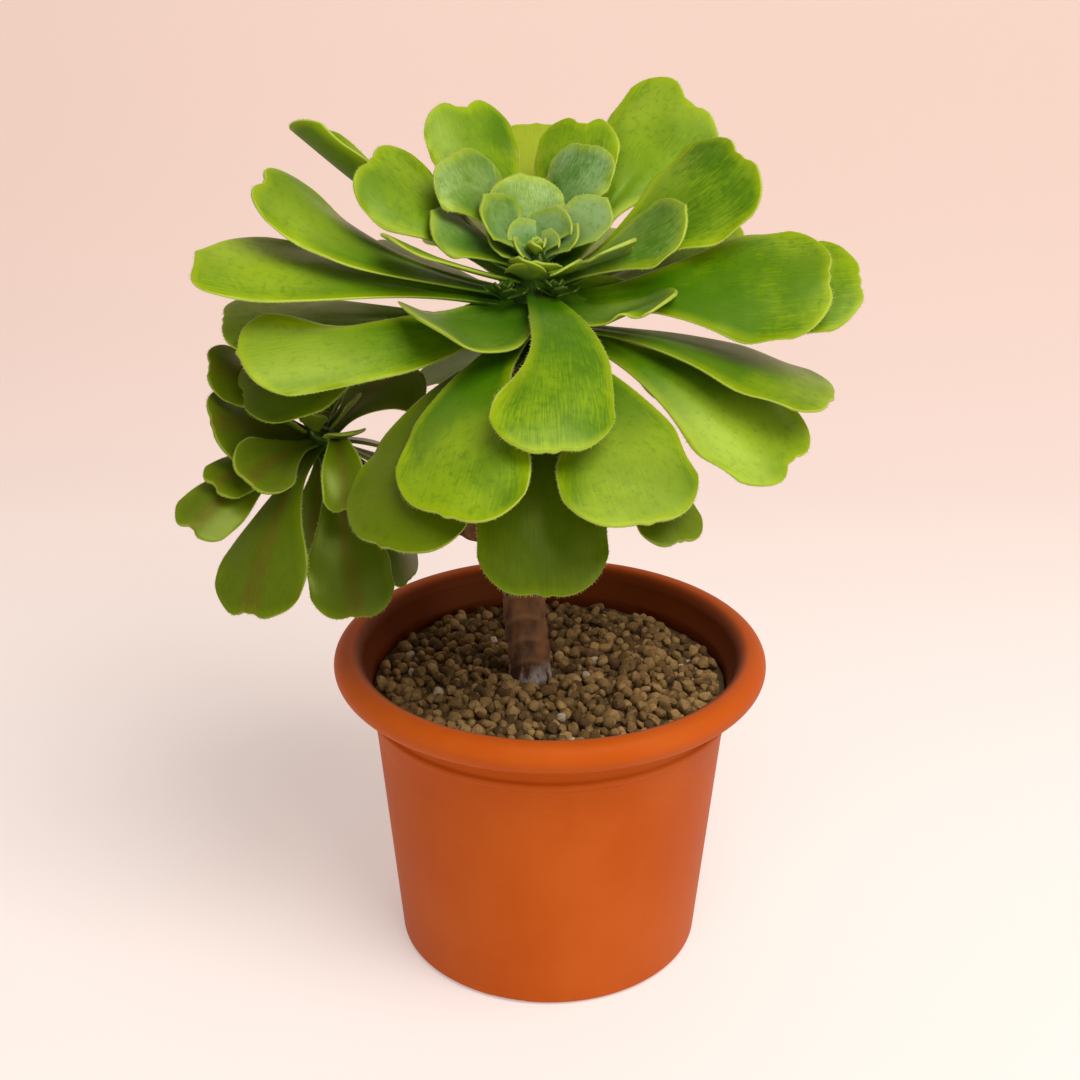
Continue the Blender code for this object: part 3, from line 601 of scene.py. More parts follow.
def addTube(shape, route, radii, rings, sides):
    # rings square to a smooth path, with radius x (1 + swell sin(tau along / pitch) + ridges + scars); a
    # scar is a raised crescent where cos(tau along / pitch + bend cos 2 turn) is near 1, and the ridges are
    # two noises, the fine one drawn out lengthwise
    points, ahead = smoothPath(route, rings)
    radius = np.interp(np.linspace(0, len(radii) - 1, rings), np.arange(len(radii)), radii)
    length = lengthAlong(points)
    across = unit(np.cross((0.0, 1.0, 0.0), ahead))
    up = np.cross(ahead, across)
    turn = (np.arange(sides) * tau / sides)[None, :]
    along = length[:, None] + 0 * turn
    swell = stem["swell"] * np.sin(along / stem["scarPitch"] * tau)
    around, unitLength = stem["skin"]
    wrapped = np.stack([np.cos(turn) * around + 0 * along, np.sin(turn) * around + 0 * along,
                        along / unitLength], axis=-1)
    ridges = sum(height * cloudNoise(wrapped * stretch, size, seed)
                 for height, stretch, size, seed in stem["ridges"])
    scars = np.cos(along / stem["scarPitch"] * tau + stem["scarBend"] * np.cos(turn * 2))
    scars = easeBetween(*stem["scarZone"], scars)
    wide = radius[:, None] * (1 + swell + ridges + stem["scarRise"] * scars)
    ring = across[:, None] * np.cos(turn)[..., None] + up[:, None] * np.sin(turn)[..., None]
    surface = points[:, None] + ring * wide[..., None]
    surface = np.concatenate([surface.reshape(-1, 3), points[[0, -1]]])
    scars = scars.reshape(-1, 1)
    shape.add(surface, gridFaces(rings, sides), endFans(rings, sides),
              scar=np.concatenate([scars, scars[[0, -1]]]))


def makeStem():
    shape = Shape("woody_stem")
    for name, head in (("trunk", crown), ("branch", sideHead)):
        tipFoot = head["tip"][0][1]
        route = stem[name] + [axisPoint(head, tipFoot - stem["stretch"]), axisPoint(head, tipFoot + 1)]
        addTube(shape, route, stem[name + "Radii"], *stem[name + "Grid"])
    shape.finish(barkPaint(), "stem")


def barkPaint():
    # reddish brown bark: paler blotches and leaf scars, dark cracks along it and a whitish crust on its
    # foot
    paint = Paint("stem bark", Specular_IOR_Level=0.3)
    cracks = paint.noise(190, 5, paint.scaled(paint.place(), (1, 1, 0.22)), rough=0.65)
    blotches = paint.noise(70, 3)
    colour = paint.mix(paint.spread(blotches, 0.35, 0.65) * 0.4, stem["bark"], stem["pale"])
    colour = paint.mix(paint.spread(cracks, 0.58, 0.36) * 0.75, colour, stem["dark"])
    colour = paint.mix(paint.part(paint.attribute("scar"), 0) * 0.35, colour, stem["pale"])
    low = paint.spread(paint.part(paint.place(), 2), *stem["crustZone"])
    crusted = low * paint.spread(cracks, 0.42, 0.56)
    colour = paint.mix(crusted * 0.7, colour, stem["crust"])
    normal = paint.bump(cracks, 0.6, 0.0008)
    return paint.feed(Base_Color=colour, Roughness=0.72 + 0.2 * cracks, Normal=normal)


# what all leaves share; zones and starts are shares of the length, from stalk to tip
leafForm = {
    "fullWidth": 38,  # narrower leaves have smaller waves and dents
    "tipStart": 0.5,
    "tipRounding": 0.85,
    "notchWidth": 0.25,  # as a share of half the leaf's width, as is pointWidth
    "curlZone": (0.1, 0.8),
    "waves": 2.0,
    "flankShift": 2.1,  # how far the right side's waves run ahead of the left side's, in radians
    "waver": (0.012, 3.1),  # how much the width wavers, and how many times
    "ripple": 0.55,  # uneven front edge
    "point": 1.0,  # tiny point in the notch
    "pointWidth": 0.07,
    "pointStart": 0.92,
    "buckle": 0.55,  # slow dents across the blade
    "dents": (3.2, 1.3),  # how close they lie along and across it
    "dentZone": (0.15, 0.5),
    "groove": 0.35,  # along the midrib, near the stalk
    "grooveWidth": 1.2,
    "grooveZone": (0.95, 0.2),
    "edge": 0.75,  # thickness at the margin, and in the middle of large, middle and small leaves
    "middles": {"large": 2.6, "middle": 2.0, "small": 1.3},
    "grids": {"large": (46, 52), "middle": (34, 40), "small": (22, 28)},
    "frontRows": (2.0, 0.9, 0.45, 0.15, 0.0),  # the last rows' distances from the front edge
    "large": 60,  # the length over which a leaf counts as large
    "small": 22,  # and up to which it counts as small
    "vary": 0.08,  # how much hue and shade vary from leaf to leaf
}

# azimuth is counter-clockwise from +X, rise is the root's slope and bend what it gains along the leaf; seat
# is the root's height on the stem tip; stalk is the stalk's width as a share of the leaf's; cup and flat
# are how far each side curls up at the stalk and at the tip; root moves the leaf's root aside
defaultLeaf = dict(azimuth=0, rise=0, bend=0, roll=0, length=90, width=38, seat=0, cup=20, flat=-12,
                   wave=1.0, notch=2.0, stalk=0.2, neck=0.2, wide=0.86, taper=0.0, twist=0, lop=0.0, skew=0.0,
                   blunt=0.0, root=(0, 0, 0), hue=None, shade=None, bloom=0.4)
youngLeaf = dict(notch=-0.5, cup=30, flat=20)
centreLeaf = dict(youngLeaf, wave=0, wide=0.7)

# outer to inner
crownLeaves = [
    dict(azimuth=161, rise=22, bend=14, length=97, width=32,  # high left, a trough seen from the side
         roll=24, cup=50, flat=60, seat=14, notch=1),
    dict(azimuth=180, rise=8, bend=32, length=97, width=34, roll=-12, seat=12, notch=4,  # upper left
         bloom=0.8, lop=0.15),
    dict(azimuth=-172, rise=10, bend=2, length=106, width=34, roll=-20, seat=9, notch=-1,  # far left
         bloom=0.7, skew=0.5),
    dict(azimuth=-163, rise=-2, bend=-4, length=96, width=37, roll=-34, seat=8, notch=1,  # left front
         bloom=1.0, lop=0.35, neck=0.25),
    dict(azimuth=-141, rise=-29, bend=55, length=47, width=47, seat=14, cup=20,  # folded young leaf, left
         flat=0, roll=-8, notch=0, neck=0.4, wide=0.95, stalk=0.45, lop=0.35, blunt=0.9, wave=0.5,
         hue=0.3),
    dict(azimuth=-107, rise=-5, bend=-38, length=94, width=44, seat=5, notch=2, roll=8,  # front left
         lop=-0.12, skew=0.15, bloom=0.5),
    dict(azimuth=-85, rise=4, bend=-50, length=82, width=39, seat=14, notch=1, roll=-4,  # front centre
         lop=0.22, skew=-0.05, bloom=0.1),
    dict(azimuth=-66, rise=-8, bend=-30, length=95, width=44, seat=2, roll=4, lop=0.12,  # front right
         bloom=0.8),
    dict(azimuth=-21, rise=-12, bend=-22, length=99, width=38, seat=5, notch=4, roll=28,  # right front
         bloom=1.0),
    dict(azimuth=-8, rise=10, bend=-4, length=96, width=42, seat=9, roll=40, bloom=0.4),  # right
    dict(azimuth=-2, rise=10, bend=-6, length=106, width=36, seat=6, roll=40, bloom=0.3),  # right, behind
    dict(azimuth=-14, rise=1, bend=-22, length=100, width=32, seat=3, notch=1, roll=8,  # right, low
         bloom=0.6),
    dict(azimuth=-17, rise=-16, bend=42, length=47, width=28, seat=13, notch=0,  # folded young leaf, right
         cup=30, flat=15, roll=40, neck=-0.1, wide=0.5, taper=0.1, twist=-40, wave=-4, blunt=0.2,
         hue=0.25),
    dict(azimuth=10, rise=22, bend=22, length=82, width=40, seat=13, notch=4, roll=32,  # upper right
         bloom=0.35),
    dict(azimuth=37, rise=34, bend=12, length=86, width=44, seat=15, notch=4, roll=30, neck=0.4,  # highest
         bloom=1.0, skew=0.3),
    dict(azimuth=-4, rise=18, bend=24, length=54, width=26, seat=15, notch=-1, roll=30,  # young, right
         hue=0.4),
    dict(azimuth=-22, rise=18, bend=14, length=34, width=18, seat=18, roll=-14,  # young, right, edge on
         notch=-3),
    dict(azimuth=90, rise=28, bend=6, length=90, width=40, seat=8, shade=-1.0),  # back, painted yellow as lit through from behind
    dict(azimuth=126, rise=44, bend=10, length=68, width=34, seat=18, notch=4, bloom=0.9),  # back left
    dict(azimuth=68, rise=40, bend=14, length=62, width=29, seat=18, notch=4,  # back right, outer
         bloom=0.6),
    dict(azimuth=58, rise=40, bend=16, length=47, width=25, seat=22, bloom=0.0),  # back right, inner
    dict(azimuth=156, rise=42, bend=14, length=46, width=31, seat=22, roll=-12),  # inner left
    dict(centreLeaf, azimuth=107, rise=48, bend=10, length=32, width=26, seat=22, wide=0.75),  # inner back
    dict(centreLeaf, azimuth=176, rise=42, bend=18, length=27, width=25, seat=23, roll=-20),  # centre, left
    dict(centreLeaf, azimuth=133, rise=47, bend=16, length=14.7, width=19, seat=24),  # centre, back
    dict(centreLeaf, azimuth=52, rise=49, bend=16, length=18.2, width=20, seat=24),  # centre, back right
    dict(centreLeaf, azimuth=20, rise=33, bend=14, length=30, width=18, seat=22.5, roll=35),  # inner right
    dict(centreLeaf, azimuth=175, rise=30, bend=14, length=19, width=13, seat=21,  # centre, low left
         roll=-20, notch=-1),
    dict(centreLeaf, azimuth=-170, rise=44, bend=16, length=12, width=12, seat=22, roll=-20),  # centre, small
    dict(centreLeaf, azimuth=48, rise=46, bend=16, length=10.4, width=14, seat=24.5),  # centre, small, right
    dict(centreLeaf, azimuth=10, rise=36, bend=14, length=17, width=13, seat=23,  # centre, low right
         roll=25, notch=-1),
    dict(azimuth=-125, rise=48, bend=14, length=15, width=15, seat=14, notch=-1,  # centre, front left
         wave=0, cup=40, flat=30),
    dict(azimuth=-88, rise=52, bend=12, length=15, width=21, seat=13, cup=45, flat=35,  # centre, front
         notch=0, wave=0),
    dict(azimuth=-35, rise=8, bend=26, length=17, width=15, seat=20, notch=-1,  # centre, front right
         wave=0),
    dict(azimuth=180, rise=20, bend=20, length=38, width=22, seat=20, roll=-24,  # inner left, pointed
         notch=-1),
    dict(azimuth=173, rise=24, bend=22, length=67, width=32, seat=18, notch=3, roll=-30),  # left, high
    dict(azimuth=-160, rise=14, bend=16, length=54, width=17, seat=16, roll=6),  # left, edge on
    dict(azimuth=150, rise=6, bend=8, length=66, width=26, seat=10),  # back left, level
    dict(azimuth=-121, rise=-9, bend=-36, length=97, width=46, seat=-2, roll=4,  # low, front left
         skew=0.1, lop=-0.15, stalk=0.3),
    dict(azimuth=-85.5, rise=-22, bend=-44, length=91, width=41, seat=-4),  # low, front, over the rim
    dict(azimuth=-55, rise=-12, bend=-32, length=93, width=24, seat=-3),  # low, front right
    dict(azimuth=-171, rise=4, bend=-26, length=97, width=34, seat=-2, roll=-26, neck=0.4),  # low, left
    dict(azimuth=-178, rise=3, bend=-4, length=101, width=30, seat=3, roll=-20),  # left, under the front one
    dict(azimuth=31, rise=11, bend=8, length=80, width=34, seat=8, roll=10),  # back right, level
    dict(azimuth=120, rise=-10, bend=-32, length=78, width=36, seat=-3),  # low, back left
    dict(azimuth=46, rise=-10, bend=-28, length=88, width=36, seat=-1),  # low, back right
    dict(azimuth=28, rise=-12, bend=-30, length=88, width=34, seat=1, roll=-30),  # low, right, edge on
    dict(azimuth=76, rise=8, bend=-4, length=92, width=40, seat=5),  # back, hidden
    dict(azimuth=108, rise=12, bend=-2, length=92, width=40, seat=6),  # back left, hidden
    dict(azimuth=86, rise=-16, bend=-38, length=90, width=40, seat=-3),  # low, back, hidden
]

sideLeaves = [
    dict(azimuth=-155, rise=60, bend=-42, length=50, width=22, roll=-40),  # up and left
    dict(azimuth=-140, rise=24, bend=-8, length=45, width=30, roll=-40, notch=2, neck=0),  # left
    dict(azimuth=-131, rise=3, bend=-14, length=48, width=16, roll=-30),  # small, left
    dict(azimuth=-116, rise=9, bend=-18, length=45, width=22, roll=-40, cup=40, flat=30),  # folded, left
    dict(azimuth=-131, rise=-3, bend=-24, length=61, width=20, roll=-30, notch=3),  # far left
    dict(azimuth=-110, rise=-14, bend=-46, length=72, width=32, roll=6, notch=3),  # down and left
    dict(azimuth=-100, rise=-50, bend=-40, length=44, width=22, root=(0, 6, 0)),  # down, behind
    dict(azimuth=-72, rise=-20, bend=-48, length=68, width=28, notch=2),  # down
    dict(azimuth=-20, rise=-40, bend=-34, length=58, width=26),  # down and right
    dict(azimuth=-78, rise=46, bend=-118, length=50, width=15, cup=50, flat=40,  # front, arched over
         roll=10, root=(4, -1, -1)),
    dict(azimuth=130, rise=30, bend=-10, length=53, width=26),  # up, behind
    dict(azimuth=84, rise=28, bend=-10, length=55, width=26),  # up, behind, right
    dict(azimuth=50, rise=28, bend=-12, length=46, width=32, roll=20),  # right, up
    dict(azimuth=40, rise=-10, bend=-34, length=55, width=26),  # right, down
    dict(azimuth=-8, rise=-14, bend=-20, length=44, width=22),  # right, small
]

# small leaves in a spiral at each growing point, from first to last; lean is how much more those at the
# back rise
goldenAngle = 137.5
crownSpiral = dict(count=6, start=98, rise=(50, 72), lean=4, bend=14, length=(7, 4.5), width=(7, 3.5),
                   seat=(24.5, 26.5))
sideSpiral = dict(count=9, start=-60, rise=(30, 70), lean=15, bend=10, length=(28, 10), width=(14, 7),
                  seat=(0, 4))

# buds in the axils under the crown's centre, dark with painted shade
buds = {
    "places": [(-15.0, -9.0, 238.4), (1.0, -9.5, 239.4)],
    "axis": (0.0, -0.45, 0.9),
    "spiral": dict(count=8, start=20, rise=(6, 70), lean=0, bend=24, length=(8.2, 3.6), width=(6.2, 3.0),
                   seat=(0, 1.8)),
    "shade": 1.9,
    "seed": 8,
}

hairs = {
    "spacing": 0.95,
    "length": (0.35, 0.95),
    "root": 0.13,  # radius
    "sink": 0.15,  # how deep the root sits in the leaf
    "start": 0.3,  # how far up the leaf they begin
    "turns": (0.36, 0.64),  # shares of the hairs at which the margin's right side and its front end
    "shift": 0.4,  # most random shift along the margin, as a share of the spacing
    "forward": 0.5,  # how much those on the sides point towards the tip
    "stray": 0.14,  # how much their directions scatter
    "shortest": 12,  # shorter leaves have none
    "seed": 31,
}

tipForm = {"rings": 30, "sides": 36, "bulge": 0.05, "shade": 1.8}


def leafSize(leaf):
    if leaf["length"] > leafForm["large"]:
        return "large"
    return "middle" if leaf["length"] > leafForm["small"] else "small"


def leafSurface(leaf, base, u, v):
    # u runs from stalk to tip and v from the right margin, -1, to the left, 1. The midrib's slope goes from
    # rise to rise + bend along the leaf. Each half widens with an ease from the stalk to its widest place,
    # the left one sooner by lop. The front is an ellipse less a notch, flatter by blunt and slanted by
    # skew, with two sines as a ripple. The section is an arc, out = half sin(curl v) / curl and lift = half
    # (1 - cos(curl v)) / curl, whose curl goes from cup to flat and whose roll goes on by twist. Slow waves
    # and dents are added to the lift.
    form = leafForm
    scale = min(1.0, leaf["width"] / form["fullWidth"])
    phase = leaf["phase"]
    tip = easeBetween(form["tipStart"], 1, u)
    shift = leaf["lop"] * np.sign(v)
    half = easeBetween(0, 1, (u - leaf["neck"] + shift) / (leaf["wide"] - leaf["neck"]))
    half = leaf["width"] / 2 * (leaf["stalk"] + (1 - leaf["stalk"]) * half)
    half = half * (1 - leaf["taper"] * easeBetween(leaf["wide"], 1, u))
    waver, times = form["waver"]
    half = half * (1 + waver * np.sin(tau * times * u + phase) * tip * scale)
    rounding = form["tipRounding"] * (1 - leaf["blunt"]) * leaf["width"] / 2
    rounding = rounding * (1 - np.sqrt(1 - (0.985 * v) ** 2))  # a little inside the ellipse's upright end
    notch = leaf["notch"] * np.exp(-(v / form["notchWidth"]) ** 2)
    slant = leaf["skew"] * leaf["width"] / 2 * v
    ripple = 0.6 * np.sin(4.7 * v + phase) + 0.4 * np.sin(9.3 * v + 2.3 * phase)
    point = form["point"] * np.exp(-(v / form["pointWidth"]) ** 2) * easeBetween(form["pointStart"], 1, u)
    cut = rounding + notch - slant - form["ripple"] * scale * ripple
    reach = leaf["length"] * u - tip * cut + point * scale
    steps = np.linspace(0, 1.2, 121)  # past the tip, for the fronts that reach beyond it
    rise = np.radians(leaf["rise"] + leaf["bend"] * steps)
    turn = np.radians(leaf["azimuth"])
    heading = np.stack([np.cos(rise) * np.cos(turn), np.cos(rise) * np.sin(turn), np.sin(rise)], axis=-1)
    run = np.cumsum((heading[1:] + heading[:-1]) / 2, axis=0) * steps[1] * leaf["length"]
    run = np.concatenate([np.zeros((1, 3)), run])
    where = reach / leaf["length"]
    midrib = np.stack([np.interp(where, steps, run[:, k]) for k in range(3)], axis=-1) + base
    ahead = unit(np.stack([np.interp(where, steps, heading[:, k]) for k in range(3)], axis=-1))
    level = np.array([-np.sin(turn), np.cos(turn), 0])
    upright = np.cross(ahead, level)
    roll = np.radians(leaf["roll"] + leaf["twist"] * u)[..., None]
    side = level * np.cos(roll) + upright * np.sin(roll)
    up = upright * np.cos(roll) - level * np.sin(roll)
    curl = np.radians(leaf["cup"] + (leaf["flat"] - leaf["cup"]) * easeBetween(*form["curlZone"], u))
    curl = np.where(np.abs(curl) < 0.001, 0.001, curl)
    out = half * np.sin(curl * v) / curl
    lift = half * (1 - np.cos(curl * v)) / curl
    wave = leaf["wave"] * scale * np.sin(tau * form["waves"] * u + form["flankShift"] * (v < 0))
    lift = lift + wave * tip * v ** 2
    along, across = form["dents"]
    place = np.stack([u * along, v * across + 0 * u, 0 * u + 7 * phase], axis=-1)
    lift = lift + form["buckle"] * scale * cloudNoise(place, 1.0, 2) * easeBetween(*form["dentZone"], u)
    surface = midrib + side * out[..., None] + up * lift[..., None]
    normal = up * np.cos(curl * v)[..., None] - side * np.sin(curl * v)[..., None]
    return surface, normal, half


def addLeaf(shape, leaf, base):
    # the surface -+ half the thickness edge + (middle - edge) (1 - v^2) (1 - u / 2), which thins along a
    # quarter circle close to the margin; a groove lies along the upper side's midrib near the stalk
    form = leafForm
    size = leafSize(leaf)
    rows, sides = form["grids"][size]
    gaps = np.array(form["frontRows"]) / leaf["length"]
    u = np.concatenate([np.linspace(0, 1 - gaps[0], rows - len(gaps) + 1), 1 - gaps[1:]])[:, None]
    turn = (np.arange(sides) * tau / sides)[None, :]
    u, v = np.broadcast_arrays(u, -np.cos(turn))
    surface, normal, half = leafSurface(leaf, base, u, v)
    fromEdge = np.minimum(half * (1 - np.abs(v)), leaf["length"] * (1 - u))
    middle = form["middles"][size]
    thick = form["edge"] + (middle - form["edge"]) * (1 - v ** 2) * (1 - 0.5 * u)
    thick = thick * np.sqrt(1 - (1 - np.clip(fromEdge / (form["edge"] / 2), 0, 1)) ** 2)
    above = np.sign(np.round(np.sin(turn), 9)) + 0 * u
    groove = form["groove"] * np.exp(-(v * half / form["grooveWidth"]) ** 2) * min(1, leaf["width"] / 30)
    groove = groove * easeBetween(*form["grooveZone"], u) * (above > 0)
    points = surface + normal * (thick / 2 * above - groove)[..., None]
    ids = np.arange(rows * sides).reshape(rows, sides)
    ids[-1, sides // 2 + 1:] = ids[-1, sides // 2 - 1:0:-1]  # the underside's last row is the upper side's
    quads = joinGrid(closeGrid(ids))[:, [0, 3, 2, 1]]
    used = rows * sides - (sides // 2 - 1)
    points = points.reshape(-1, 3)[:used]
    stalkEnd = points[:sides].mean(axis=0, keepdims=True)
    points = np.concatenate([points, stalkEnd])
    place = np.stack([u, v, fromEdge], axis=-1).reshape(-1, 3)[:used]
    face = above.reshape(-1, 1)[:used]
    shape.add(points, quads, fan(range(sides), used), blade=np.concatenate([place, [(0, 0, 1)]]),
              face=np.concatenate([face, [(0,)]]), tone=(leaf["hue"], leaf["shade"], leaf["bloom"]))


def marginPlace(share):
    # u and v at a share of the way up the right side, across the front and down the left side
    u = np.interp(share, [0, *hairs["turns"], 1], [hairs["start"], 1, 1, hairs["start"]])
    return u, np.interp(share, hairs["turns"], [-1, 1])


def addHairs(shape, leaf, base, draw):
    # three-sided cones along the margin, evenly spaced less a random shift, pointing outwards and, along
    # the sides, a little towards the tip
    share = np.linspace(0, 1, 400)
    edge = leafSurface(leaf, base, *marginPlace(share))[0]
    length = lengthAlong(edge)
    count = int(length[-1] / hairs["spacing"])
    spots = np.arange(count) + draw.uniform(-hairs["shift"], hairs["shift"], count) + 0.5
    spots = spots * length[-1] / count
    u, v = marginPlace(np.interp(spots, length, share))
    foot = leafSurface(leaf, base, u, v)[0]
    # directions from a point a little inside the margin, and from one a little nearer the stalk
    inner = leafSurface(leaf, base, u * (1 - 0.02 * (u > 0.99)), v * 0.96)[0]
    out = unit(foot - inner)
    ahead = leafSurface(leaf, base, np.minimum(u + 0.02, 1), v)[0] - leafSurface(leaf, base, u - 0.02, v)[0]
    ahead = unit(ahead)
    onSide = (np.abs(v) > 0.99)[:, None]
    out = unit(out + hairs["forward"] * ahead * onSide + draw.normal(0, hairs["stray"], (count, 3)))
    across = unit(np.cross(out, ahead + (0.01, 0.02, 0.03)))
    other = np.cross(out, across)
    tall = draw.uniform(*hairs["length"], count) * min(1.0, 0.45 + leaf["width"] / 70)
    turn = np.arange(3) * tau / 3
    ring = (np.cos(turn)[None, :, None] * across[:, None] + np.sin(turn)[None, :, None] * other[:, None])
    ring = (foot - out * hairs["sink"])[:, None] + ring * hairs["root"]
    top = (foot + out * tall[:, None])[:, None]
    points = np.concatenate([ring, top], axis=1).reshape(-1, 3)
    step = (np.arange(count) * 4)[:, None, None]
    cone = np.array([(0, 1, 3), (1, 2, 3), (2, 0, 3), (2, 1, 0)])
    shape.add(points, tris=(cone[None] + step).reshape(-1, 3))


def spiralLeaves(spiral):
    # each leaf turned on by the golden angle and smaller than the last
    leaves = []
    for index in range(spiral["count"]):
        t = index / (spiral["count"] - 1)
        azimuth = goldenAngle * index + spiral["start"]
        leaf = dict(youngLeaf, azimuth=azimuth, bend=spiral["bend"])
        for key in ("rise", "length", "width", "seat"):
            first, last = spiral[key]
            leaf[key] = first + (last - first) * t
        leaf["rise"] += spiral["lean"] * math.sin(math.radians(azimuth))
        leaves.append(leaf)
    return leaves


def prepareLeaves(rows, seed, hueOf, shadeOf):
    # fills in what a row leaves out, and gives each leaf its own phase, hue and shade
    draw = np.random.default_rng(seed)
    leaves = []
    for row in rows:
        leaf = dict(defaultLeaf, **row)
        leaf["phase"] = draw.uniform(0, tau)
        varied = draw.uniform(-1, 1, 2)
        if leaf["hue"] is None:
            leaf["hue"] = hueOf(leaf) + leafForm["vary"] * varied[0]
        if leaf["shade"] is None:
            leaf["shade"] = shadeOf(leaf) + leafForm["vary"] * varied[1]
        leaves.append(leaf)
    return leaves


def leafBase(head, leaf):
    return axisPoint(head, leaf["seat"]) + np.array(leaf["root"])


def addStemTip(shape, head):
    # the green stem tip: rings along the head's axis, with radius x (1 + bulge sin(3 turn + 0.9 height))
    # for a slight spiral of old leaf bases; it is coloured like a leaf's stalk, dark with painted shade
    profile = np.array(head["tip"], float)
    steps = np.linspace(0, len(profile) - 1, tipForm["rings"])
    radius, height = (np.interp(steps, np.arange(len(profile)), profile[:, k]) for k in range(2))
    ahead = unit(np.array(head["axis"], float))
    level = unit(np.cross((0.0, 1.0, 0.0), ahead))
    other = np.cross(ahead, level)
    sides = tipForm["sides"]
    turn = (np.arange(sides) * tau / sides)[None, :]
    wide = radius[:, None] * (1 + tipForm["bulge"] * np.sin(3 * turn + height[:, None] * 0.9))
    points = np.array(head["base"]) + ahead * height[:, None, None]
    points = points + (level * np.cos(turn)[..., None] + other * np.sin(turn)[..., None]) * wide[..., None]
    ends = [axisPoint(head, height[0]), axisPoint(head, height[-1])]
    points = np.concatenate([points.reshape(-1, 3), ends])
    shape.add(points, gridFaces(len(steps), sides), endFans(len(steps), sides),
              blade=(0.05, 0, 6), tone=(0, tipForm["shade"], 0), face=(1, 0, 0))


def makeHead(name, head, pieces, material, node):
    # pieces holds the leaves of each piece by its name; the first also holds the stem tip
    for index, (label, leaves) in enumerate(pieces.items()):
        shape = Shape(name + "_" + label)
        if index == 0:
            addStemTip(shape, head)
        for leaf in leaves:
            addLeaf(shape, leaf, leafBase(head, leaf))
        shape.finish(material, node)


def makeHairs(name, head, leaves, material):
    draw = np.random.default_rng(hairs["seed"])
    shape = Shape(name)
    for leaf in leaves:
        if leaf["length"] > hairs["shortest"]:
            addHairs(shape, leaf, leafBase(head, leaf), draw)
    shape.finish(material, None)


def makeBuds(material):
    shape = Shape("axil_buds")
    for index, place in enumerate(buds["places"]):
        bud = {"base": place, "axis": buds["axis"]}
        rows = spiralLeaves(buds["spiral"])
        for leaf in prepareLeaves(rows, buds["seed"] + index, lambda leaf: 0.0, lambda leaf: buds["shade"]):
            addLeaf(shape, leaf, leafBase(bud, leaf))
    shape.finish(material, None)


def crownHue(leaf):
    # the shorter, inner leaves are bluer
    if leaf["length"] < 35:
        return 1.0
    return 0.75 if leaf["length"] < 50 else 0.1


def crownShade(leaf):
    # the lowest leaves get the most painted shade under the crown, and are the dullest
    if leaf["seat"] < 0:
        return 0.75
    return 0.25 if leaf["seat"] < 4 else 0.05


greens = {
    "fresh": (0.185, 0.295, 0.0003),  # sunlit yellow green
    "deep": (0.030, 0.112, 0.0002),  # darker patches
    "bloom": (0.300, 0.400, 0.030),  # painted highlight: a whitish sheen on the middle of the blade
    "blue": (0.215, 0.330, 0.140),  # young leaves in the centre
    "olive": (0.050, 0.072, 0.0008),  # old leaves under the crown, darkened further as painted shade
    "margin": (0.380, 0.450, 0.060),
    "glow": (0.290, 0.370, 0.001),  # yellower zone inside the margin
    "under": (0.075, 0.125, 0.002),
    # painted deep shade of the hub: stalks, the stem tip and buds
    "dark": (0.006, 0.030, 0.001),
    # painted light: the yellow of a leaf lit through from behind
    "backlit": (0.400, 0.440, 0.030),
    "streak": (0.085, 0.060, 0.006),  # brownish midribs of the side head
    "hair": (0.34, 0.40, 0.07),
    "paleHair": (0.52, 0.56, 0.20),
    "sheen": (0.86, 1.0, 0.28),
}


